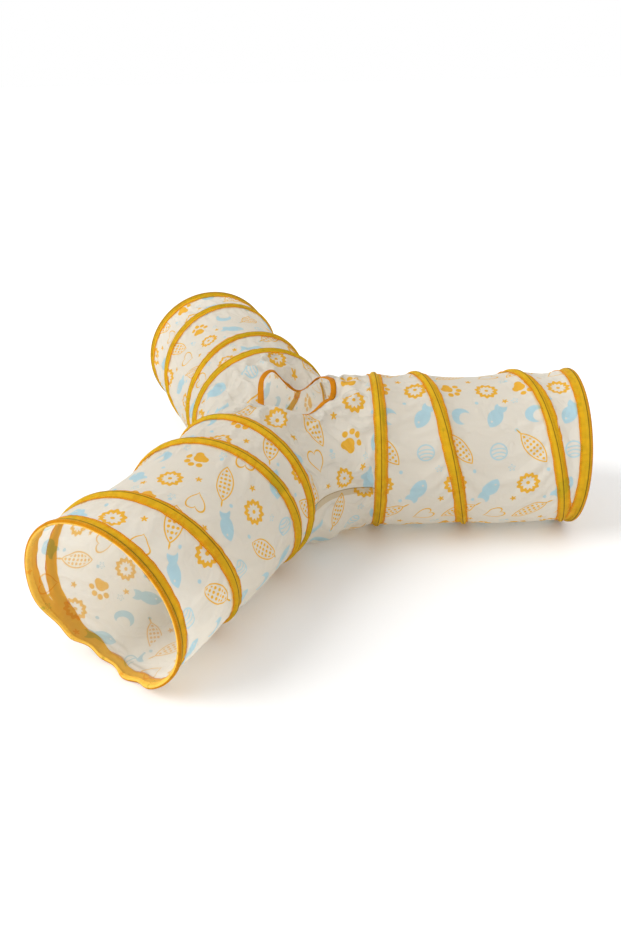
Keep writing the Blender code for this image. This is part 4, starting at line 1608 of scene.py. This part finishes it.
@dataclass
class Hub:
    """The soft middle: two cloths, the peep hole and its bound rim."""

    finishes: Finishes
    folds: tuple[Fold, ...] = (
        Fold(80, 38, depth=0.038),
        Fold(185, 52, depth=0.024, inset=0.012),
        Fold(158, 80, inset=0.021),
        Fold(346, 30, depth=0.012),
        Fold(266, 66, inset=0.009, curl=math.radians(112)),
    )
    tucks: tuple[Tuck, ...] = (
        Tuck(180, 0.018, 0.018, 0.045, 0.165),
        Tuck(12, 0.004, 0.010, 0.070, 0.135),
        Tuck(-14, 0.005, 0.011, 0.072, 0.136),
        Tuck(36, 0.004, 0.012, 0.068, 0.130),
        Tuck(118, 0.004, 0.011, 0.074, 0.134),
        Tuck(236, 0.005, 0.012, 0.076, 0.136),
        Tuck(252, 0.003, 0.009, 0.080, 0.134),
    )
    curl_reach: float = 0.020
    inset_reach: float = 0.055
    crumple: float = 0.0065
    crumple_size: float = 0.030
    crumple_rise: float = 0.020
    crumple_end: float = 0.108
    crumple_fade: float = 0.022
    crumple_sharpness: float = 3.0
    seam_dip: float = 0.0035
    seam_crease: float = 0.9
    rim_drop: float = 0.003
    floor_slack: float = 0.014
    corner_fullness: float = 3.0
    shoulder: float = math.radians(47)
    section_step: float = math.radians(2.6)
    wall_ease: float = math.radians(12)
    pad_rings: tuple[float, ...] = (0.12, 0.3, 0.5, 0.75, 1.0)
    settle: Settle = Settle(growth=0.035, frames=22, cap=0.010)
    collar_margin: float = 0.002
    rim_gap: float = 0.0004
    rim_thickness: float = 0.0004
    still_reach: float = 0.092  # nearer to the middle the cloth would stay still as an arm swings; no sector is made to follow
    swing_reach: float = 0.129  # further out it would follow the swing fully
    sector_cut: tuple[float, float] = (0.26, 0.42)
    held_rows: int = 7
    top_rows: int = 19
    wall_rows: int = 18
    corner_steps: int = 10
    straight_steps: int = 8

    @property
    def angles(self) -> list[float]:
        """The arms' directions."""
        return [math.radians(arm.degrees) for arm in ARMS]

    @property
    def turn_angle(self) -> float:
        """The angle from an arm's axis past which a wall leaves the arm's straight line."""
        return math.atan(SIZES.cloth_radius / SIZES.straight_reach)

    @property
    def slack_reach(self) -> float:
        """How far out the slack of the cloth reaches."""
        return SIZES.root_distance - SIZES.tape_width

    def half_corner(self, arm: int) -> float:
        """Half the angle between an arm and the next one round."""
        ahead = self.angles[(arm + 1) % len(ARMS)] - self.angles[arm]
        return (ahead % TURN) / 2

    def lateral_share(self, off_axis: float, half: float) -> float:
        """The wall is the cloth's radius over this from the middle."""
        if off_axis <= self.turn_angle:
            return math.sin(off_axis)
        past, room = off_axis - self.turn_angle, half - self.turn_angle
        bend = math.cos(self.turn_angle) * past * (1 - past / (2 * room))
        return math.sin(self.turn_angle) + bend

    def off_nearest_arm(self, direction: float) -> tuple[float, float]:
        """The angle from the nearest arm's axis, and half the corner that the direction lies in."""
        for arm, angle in enumerate(self.angles):
            past, half = (direction - angle) % TURN, self.half_corner(arm)
            if past <= 2 * half + 1e-9:
                return min(past, max(0.0, 2 * half - past)), half
        return 0.0, math.pi / len(ARMS)

    def top_height(self, distance: float, direction: float) -> float:
        """The top cloth's height over the floor."""
        sideways = distance * self.lateral_share(*self.off_nearest_arm(direction))
        over = math.sqrt(max(0.0, SIZES.cloth_radius**2 - sideways**2))
        reach = SIZES.hole_radius + SIZES.hole_binding_width
        slack = 1 - ease((distance - reach) / (self.slack_reach - reach))
        drop = self.rim_drop + sum(fold.depth * fold.amount(direction) for fold in self.folds)
        tucked = sum(tuck.drop(distance, direction) for tuck in self.tucks)
        return SIZES.axis_height + over - drop * slack - tucked

    def top_point(self, distance: float, direction: float) -> Vector:
        """A point of the top cloth, with the limp rim where it has moved to."""
        past = distance - SIZES.hole_radius
        height = self.top_height(distance, direction)
        for fold in self.folds:
            amount = fold.amount(direction)
            turn = fold.curl * amount
            if turn > 0.02 and past < self.curl_reach:
                radius = self.curl_reach / turn
                here = turn * (1 - past / self.curl_reach)
                distance = SIZES.hole_radius + self.curl_reach - radius * math.sin(here)
                height -= radius * (1 - math.cos(here))
            distance -= fold.inset * amount * (1 - ease(past / self.inset_reach))
        point = Vector((distance * math.cos(direction), distance * math.sin(direction), height))
        fading = ease((distance - self.crumple_end) / self.crumple_fade)
        slack = ease(past / self.crumple_rise) * (1 - fading)
        crease = 1 - abs(ripple(point, self.crumple_size, 4.0)) * self.crumple_sharpness
        point.z += self.crumple * slack * max(-1.0, crease)
        return point

    def floor_point(self, distance: float, direction: float) -> Vector:
        """A point of the floor cloth."""
        height = self.floor_height(distance, direction)
        return Vector((distance * math.cos(direction), distance * math.sin(direction), height))

    def floor_height(self, distance: float, direction: float) -> float:
        """The floor cloth's height: round in front of an arm and fuller between two arms."""
        off_axis, half = self.off_nearest_arm(direction)
        radius = SIZES.cloth_radius
        sideways = min(distance * self.lateral_share(off_axis, half), radius)
        cornering = ease((off_axis - self.turn_angle) / (half - self.turn_angle))
        power = self.corner_fullness
        full = radius * (1 - (sideways / radius) ** power) ** (1 / power)
        depth = math.sqrt(radius**2 - sideways**2) * (1 - cornering) + full * cornering
        slack = 1 - ease((distance - SIZES.pad_radius) / (self.slack_reach - SIZES.pad_radius))
        return max(0.0, SIZES.axis_height - depth - self.floor_slack * slack)

    def corner_run(self, sideways: float, arm: int) -> list[tuple[float, float]]:
        """(distance, direction) along a wall, from an arm's left round to the next arm's right."""
        half, turn = self.half_corner(arm), self.turn_angle
        start = math.atan(sideways / SIZES.straight_reach)
        angles = [
            start + (turn - start) * i / self.straight_steps for i in range(self.straight_steps)
        ]
        steps = self.corner_steps
        angles += [turn + (half - turn) * i / steps for i in range(steps + 1)]
        angles += [2 * half - angle for angle in reversed(angles[:-1])]
        shares = [self.lateral_share(min(a, 2 * half - a), half) for a in angles]
        return [(sideways / share, self.angles[arm] + a) for share, a in zip(shares, angles)]

    def hoop_run(self, arm: int) -> list[tuple[float, float]]:
        """(distance, direction) across an arm's root, between its walls."""
        count = round((math.pi - 2 * self.shoulder) / self.section_step)
        end = SIZES.straight_reach
        run = []
        for i in range(1, count):
            section = math.pi - self.shoulder - i * (math.pi - 2 * self.shoulder) / count
            side = SIZES.cloth_radius * math.cos(section)
            run.append((math.hypot(end, side), self.angles[arm] + math.atan2(side, end)))
        return run

    def shoulder_loop(self) -> tuple[list[tuple[float, float]], list[slice]]:
        """The hub's columns as (distance, direction), and the part of them at each corner."""
        half_width = SIZES.cloth_radius * math.cos(self.shoulder)
        loop: list[tuple[float, float]] = []
        corners = []
        for arm in range(len(ARMS)):
            loop += self.hoop_run(arm)
            run = self.corner_run(half_width, arm)
            corners.append(slice(len(loop), len(loop) + len(run)))
            loop += run
        return loop, corners

    def add_face(self, sheet: HubSheet, side: Side, corners: Sequence[bmesh.types.BMVert]) -> None:
        """Adds a face of one cloth with its place on the flat cut.

        Args:
            sheet: The mesh and its flat cuts.
            side: Which cloth it belongs to.
            corners: The corners, turning so that the top's face points up.
        """
        face = sheet.mesh.faces.new(corners if side is Side.TOP else corners[::-1])
        sheet.lay_flat(face, side)

    def add_rows(
        self,
        sheet: HubSheet,
        side: Side,
        rings: Sequence[float],
        point: Callable[[float, float], Vector],
    ) -> list[list[bmesh.types.BMVert]]:
        """Rings of points from a cloth's middle out to its shoulder, and the faces between them.

        Args:
            sheet: The mesh and its flat cuts.
            side: Which cloth it is.
            rings: The radii of the round rows.
            point: Gives the cloth's point for a distance and a direction.

        Returns:
            The rows, from the middle out.
        """
        loop, _ = self.shoulder_loop()
        even_step = TURN / len(loop)
        rows = []
        for i in range(len(rings) + self.top_rows):
            share = max(0, i - len(rings) + 1) / self.top_rows
            from_radius = rings[min(i, len(rings) - 1)]
            row = []
            for column, (distance, direction) in enumerate(loop):
                even = loop[0][1] + column * even_step
                turned = even + (direction - even) * share
                radius = from_radius + (distance - from_radius) * share
                flat = (radius * math.cos(turned), side.value * radius * math.sin(turned))
                row.append(sheet.add(side, point(radius, turned), flat))
            rows.append(row)
        for inner, further in zip(rows, rows[1:]):
            for i in range(len(loop)):
                j = (i + 1) % len(loop)
                self.add_face(sheet, side, (inner[i], further[i], further[j], inner[j]))
        return rows

    def wall_height(self, side: Side, section: float, distance: float, direction: float) -> float:
        """The height of a cloth's wall at an angle of the arms' section."""
        level = SIZES.axis_height + side.value * SIZES.cloth_radius * math.sin(section)
        if side is Side.TOP:
            return level
        slack = self.floor_height(distance, direction)
        return level + (slack - level) * ease(section / self.wall_ease)

    def add_wall(
        self,
        sheet: HubSheet,
        side: Side,
        shoulder: list[bmesh.types.BMVert],
        arm: int,
        seam: list[bmesh.types.BMVert] | None = None,
    ) -> list[bmesh.types.BMVert]:
        """The wall from the shoulder to the side seam, round the corner after an arm.

        Args:
            sheet: The mesh and its flat cuts.
            side: Which cloth it is.
            shoulder: The row that the wall starts at.
            arm: The number of the arm before the corner.
            seam: The other cloth's row at the side seam, to sew this one to.

        Returns:
            The row at the side seam.
        """
        above = shoulder
        for i in range(1, self.wall_rows + 1):
            section = self.shoulder * (1 - i / self.wall_rows)
            dip = self.seam_dip if i == self.wall_rows else 0.0
            below = []
            run = self.corner_run(SIZES.cloth_radius * math.cos(section), arm)
            for column, (distance, direction) in enumerate(run):
                height = self.wall_height(side, section, distance, direction)
                away = min(column, len(run) - 1 - column) / self.straight_steps
                distance -= dip * ease(away)
                x, y = distance * math.cos(direction), distance * math.sin(direction)
                co = Vector((x, y, height))
                upper = above[column]
                step = (co - upper.co).length
                along = Vector((math.cos(direction), side.value * math.sin(direction)))
                flat = Vector(sheet.flats[side][upper]) + step * along
                if dip and seam:
                    below.append(sheet.sew(side, seam[column], tuple(flat)))
                else:
                    below.append(sheet.add(side, co, tuple(flat)))
            for j in range(len(below) - 1):
                self.add_face(sheet, side, (above[j], below[j], below[j + 1], above[j + 1]))
            above = below
        return above

    def build_mesh(self) -> bpy.types.Object:
        """The hub's two cloths as one open sheet, sewn along the side seams."""
        sheet = HubSheet()
        rings = (SIZES.hole_radius, SIZES.hole_radius + SIZES.hole_binding_width)
        _, corners = self.shoulder_loop()
        top = self.add_rows(sheet, Side.TOP, rings, self.top_point)
        seams = [
            self.add_wall(sheet, Side.TOP, top[-1][part], arm) for arm, part in enumerate(corners)
        ]
        pad = tuple(SIZES.pad_radius * share for share in self.pad_rings)
        low = self.add_rows(sheet, Side.FLOOR, pad, self.floor_point)
        for arm, part in enumerate(corners):
            self.add_wall(sheet, Side.FLOOR, low[-1][part], arm, seams[arm])
        self.fill_middle(sheet, low[0])
        for arm in ARMS:
            self.add_collar(sheet, arm)
        for seam in seams:
            for here, there in zip(seam, seam[1:]):
                sheet.mesh.edges.get((here, there))[sheet.crease] = self.seam_crease
        return sheet.finish("hub_cloth")

    def fill_middle(self, sheet: HubSheet, ring: Sequence[bmesh.types.BMVert]) -> None:
        """Closes the floor cloth's middle with faces that reach across it."""
        for i in range((len(ring) - 1) // 2):
            corners = dict.fromkeys((ring[i], ring[i + 1], ring[-i - 2], ring[-i - 1]))
            self.add_face(sheet, Side.FLOOR, tuple(corners))

    def add_collar(self, sheet: HubSheet, arm: ArmPlace) -> None:
        """Runs the cloth's edge across an arm's root straight on, under the root tape."""
        reach = SIZES.root_distance - SIZES.cloth_start - SIZES.straight_reach
        edge = [
            e
            for e in sheet.mesh.edges
            if e.is_boundary
            and all(abs(v.co.dot(arm.out) - SIZES.straight_reach) < 1e-5 for v in e.verts)
        ]
        further = {}
        for vertex in dict.fromkeys(v for e in edge for v in e.verts):
            further[vertex] = sheet.mesh.verts.new(vertex.co + reach * arm.out)
            for side, flats in sheet.flats.items():
                if vertex in flats:
                    out = Vector((arm.out.x, side.value * arm.out.y))
                    flats[further[vertex]] = tuple(Vector(flats[vertex]) + reach * out)
        for loop in [e.link_loops[0] for e in edge]:
            first, second = loop.vert, loop.link_loop_next.vert
            corners = (second, first, further[first], further[second])
            face = sheet.mesh.faces.new(corners)
            high = face.calc_center_median().z > SIZES.axis_height
            sheet.lay_flat(face, Side.TOP if high else Side.FLOOR)

    def build(self) -> None:
        """Builds the cloth, lets it settle, binds its rim and parts it for the three arms."""
        cloth = self.build_mesh()
        columns = len(self.shoulder_loop()[0])
        collar = SIZES.straight_reach - self.collar_margin
        held = [
            vertex.index < self.held_rows * columns
            or vertex.co.z < MILLIMETRE
            or any(vertex.co.dot(arm.out) > collar for arm in ARMS)
            for vertex in cloth.data.vertices
        ]
        self.settle.run(cloth, np.array(held))
        LOG.info("hub: cloth")
        self.build_rim(cloth, columns)
        LOG.info("hub: rim")
        smooth_over(cloth, 1)
        dress(cloth, "printed_cloth", self.finishes.hub_cloth, self.finishes.lit_cloth_inside)
        self.part(cloth)
        LOG.info("hub: sectors")

    def build_rim(self, cloth: bpy.types.Object, columns: int) -> None:
        """The narrow tape folded over the hole's edge, on the settled cloth's first two rows."""
        mesh, gap = cloth.data, self.rim_gap
        rim = [mesh.vertices[i] for i in range(columns)]
        outer = [mesh.vertices[columns + i] for i in range(columns)]

        def place(x: float, y: float) -> Vector:
            """The point beside the cloth's edge, from above it round to below."""
            i = round(x * columns) % columns
            edge, far = rim[i], outer[i]
            inwards = (edge.co - far.co).normalized()
            steps = (
                far.co + gap * far.normal,
                edge.co + gap * edge.normal,
                edge.co + gap * inwards + 0.3 * gap * edge.normal,
                edge.co + gap * inwards - 0.3 * gap * edge.normal,
                edge.co - gap * edge.normal,
                far.co - gap * far.normal,
            )
            return steps[round(y * 5)]

        def flat(x: float, y: float) -> tuple[float, float]:
            """The place along the tape and across it."""
            width, turn = SIZES.hole_binding_width, 0.5 * MILLIMETRE
            run = (-width, -turn, 0.0, 0.0, turn, width)
            return (x * TURN * SIZES.hole_radius, run[round(y * 5)])

        binding = Strip("peep_hole_rim", columns, 5).lay(place, {"tape": flat}, closed=True)
        smooth_over(binding, 1)
        dress(binding, "binding_tape", self.finishes.rim)
        edit(binding, lambda: bpy.ops.mesh.normals_make_consistent(inside=False))
        give_wall(binding, self.rim_thickness, outwards=True)
        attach(binding, "hub")
        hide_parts("peep_hole_binding")

    def part(self, cloth: bpy.types.Object) -> None:
        """Parts the cloth into three sectors, one for each arm."""
        normals = [Vector(v.normal) for v in cloth.data.vertices]
        for arm, place in enumerate(ARMS):
            sector, kept = self.cut_sector(cloth, arm)
            give_wall(sector, CLOTH_WALL, outwards=False, inner_slot=1)
            facing = [normals[i] for i in kept] + [-normals[i] for i in kept]
            sector.data.normals_split_custom_set_from_vertices(facing)
            start, end = self.still_reach * place.out, self.swing_reach * place.out
            place.arm_body
            tuple(start)
            tuple(end)
            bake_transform(sector)
            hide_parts("hub_top_panel", "hub_floor_panel")
        bpy.data.objects.remove(cloth)

    def cut_sector(self, cloth: bpy.types.Object, arm: int) -> tuple[bpy.types.Object, list[int]]:
        """Copies an arm's sector of the open cloth.

        Args:
            cloth: The whole cloth, which keeps its faces.
            arm: The arm's number.

        Returns:
            The sector, and each of its vertices' number in the whole cloth.
        """
        sector = add_object(f"hub_cloth_{ARMS[arm].name}", cloth.data.copy())
        sector.data.name = sector.name
        piece = bmesh.new()
        piece.from_mesh(sector.data)
        others = [
            face
            for face in piece.faces
            if self.sector_of(math.atan2(face.calc_center_median().y, face.calc_center_median().x))
            != arm
        ]
        numbers = {vertex: vertex.index for vertex in piece.verts}
        bmesh.ops.delete(piece, geom=others, context="FACES")
        kept = [numbers[vertex] for vertex in piece.verts]
        piece.to_mesh(sector.data)
        piece.free()
        return sector, kept

    def sector_of(self, direction: float) -> int:
        """The arm whose sector a direction lies in."""
        for arm, angle in enumerate(self.angles):
            past, half = (direction - angle) % TURN, self.half_corner(arm)
            if past <= 2 * half:
                return arm if past <= half else (arm + 1) % len(ARMS)
        return 0


# Studio


@dataclass(frozen=True)
class Studio:
    """Floor, lamps and the camera at the photograph's angle."""

    focal_px: float = 867.8
    frame_px: tuple[int, int] = (621, 931)
    azimuth: float = -0.85
    elevation: float = 30.27
    roll: float = -0.86
    distance: float = 1.3879
    target: tuple[float, float, float] = (0.0338, -0.0480, 0.125)
    sensor_width: float = 36.0
    floor_size: float = 12.0
    floor_gap: float = 0.0004
    surround: float = 0.84
    lamp_power: float = 1.9
    lamp_degrees: float = 40.0
    lamp_way: tuple[float, float, float] = (1.0, 0.25, -0.85)

    def build(self) -> None:
        """Builds the whole studio."""
        self.build_floor()
        self.build_world()
        self.build_lamp()
        self.build_camera()
        bpy.context.scene.view_settings.view_transform = "Standard"

    def white_to_camera(self, tree: bpy.types.NodeTree) -> Socket:
        """1 for rays from the camera and through gloss and glass, 0 for others."""
        path = add_node(tree, "ShaderNodeLightPath")
        kinds = ("Is Camera Ray", "Is Glossy Ray", "Is Transmission Ray")
        return chain(tree, "MAXIMUM", *(path.outputs[kind] for kind in kinds))

    def build_floor(self) -> None:
        """A wide sheet of white paper that keeps the object's shadow."""
        bpy.ops.object.select_all(action="DESELECT")
        bpy.ops.mesh.primitive_plane_add(size=self.floor_size, location=-self.floor_gap * UP)
        floor = bpy.context.active_object
        floor.name = "floor"
        material = bpy.data.materials.new("white_paper")
        material.use_nodes = True
        shader = material.node_tree.nodes["Principled BSDF"]
        shader.inputs["Base Color"].default_value = linear("#FFFFFF")
        shader.inputs["Roughness"].default_value = 0.9
        floor.data.materials.append(material)

    def build_world(self) -> None:
        """An even pale surround, white where the camera sees it."""
        world = bpy.data.worlds.new("studio")
        bpy.context.scene.world = world
        world.use_nodes = True
        tree = world.node_tree
        background = tree.nodes["Background"]
        background.inputs["Color"].default_value = (1.0, 1.0, 1.0, 1.0)
        seen = {"Value": self.white_to_camera(tree), "To Min": self.surround, "To Max": 1.0}
        strength = add_node(tree, "ShaderNodeMapRange", {}, seen)
        tree.links.new(strength.outputs[0], background.inputs["Strength"])

    def build_lamp(self) -> None:
        """One wide soft lamp, far off on the left."""
        light = bpy.data.lights.new("key", "SUN")
        light.angle = math.radians(self.lamp_degrees)
        light.energy = self.lamp_power
        lamp = add_object("key", light)
        lamp.rotation_euler = Vector(self.lamp_way).to_track_quat("-Z", "Y").to_euler()

    def build_camera(self) -> None:
        """The camera that fits the photograph's rings and mouths."""
        azimuth, elevation = math.radians(self.azimuth), math.radians(self.elevation)
        back = Vector(
            (
                math.sin(azimuth) * math.cos(elevation),
                -math.cos(azimuth) * math.cos(elevation),
                math.sin(elevation),
            )
        )
        right = UP.cross(back).normalized()
        up = back.cross(right)
        roll = math.radians(self.roll)
        right, up = (
            math.cos(roll) * right + math.sin(roll) * up,
            math.cos(roll) * up - math.sin(roll) * right,
        )
        camera = bpy.data.cameras.new("camera")
        camera.sensor_width = self.sensor_width
        camera.lens = camera.sensor_width * self.focal_px / max(self.frame_px)
        obj = add_object("camera", camera)
        turn = Matrix((right, up, back)).transposed().to_4x4()
        obj.matrix_world = Matrix.Translation(Vector(self.target) + self.distance * back) @ turn
        bpy.context.scene.camera = obj


def main() -> None:
    """Builds the object's pieces in order, then the studio."""
    logging.basicConfig(level=logging.INFO, format="%(name)s %(message)s")
    finishes = make_finishes()
    arms = [Arm(place, finishes, seed=7.3 * i) for i, place in enumerate(ARMS)]
    for arm in arms:
        arm.build()
    Hub(finishes).build()
    for arm in arms:
        arm.declare_cloth()
    Studio().build()
    LOG.info("studio")


if __name__ == "__main__":
    main()
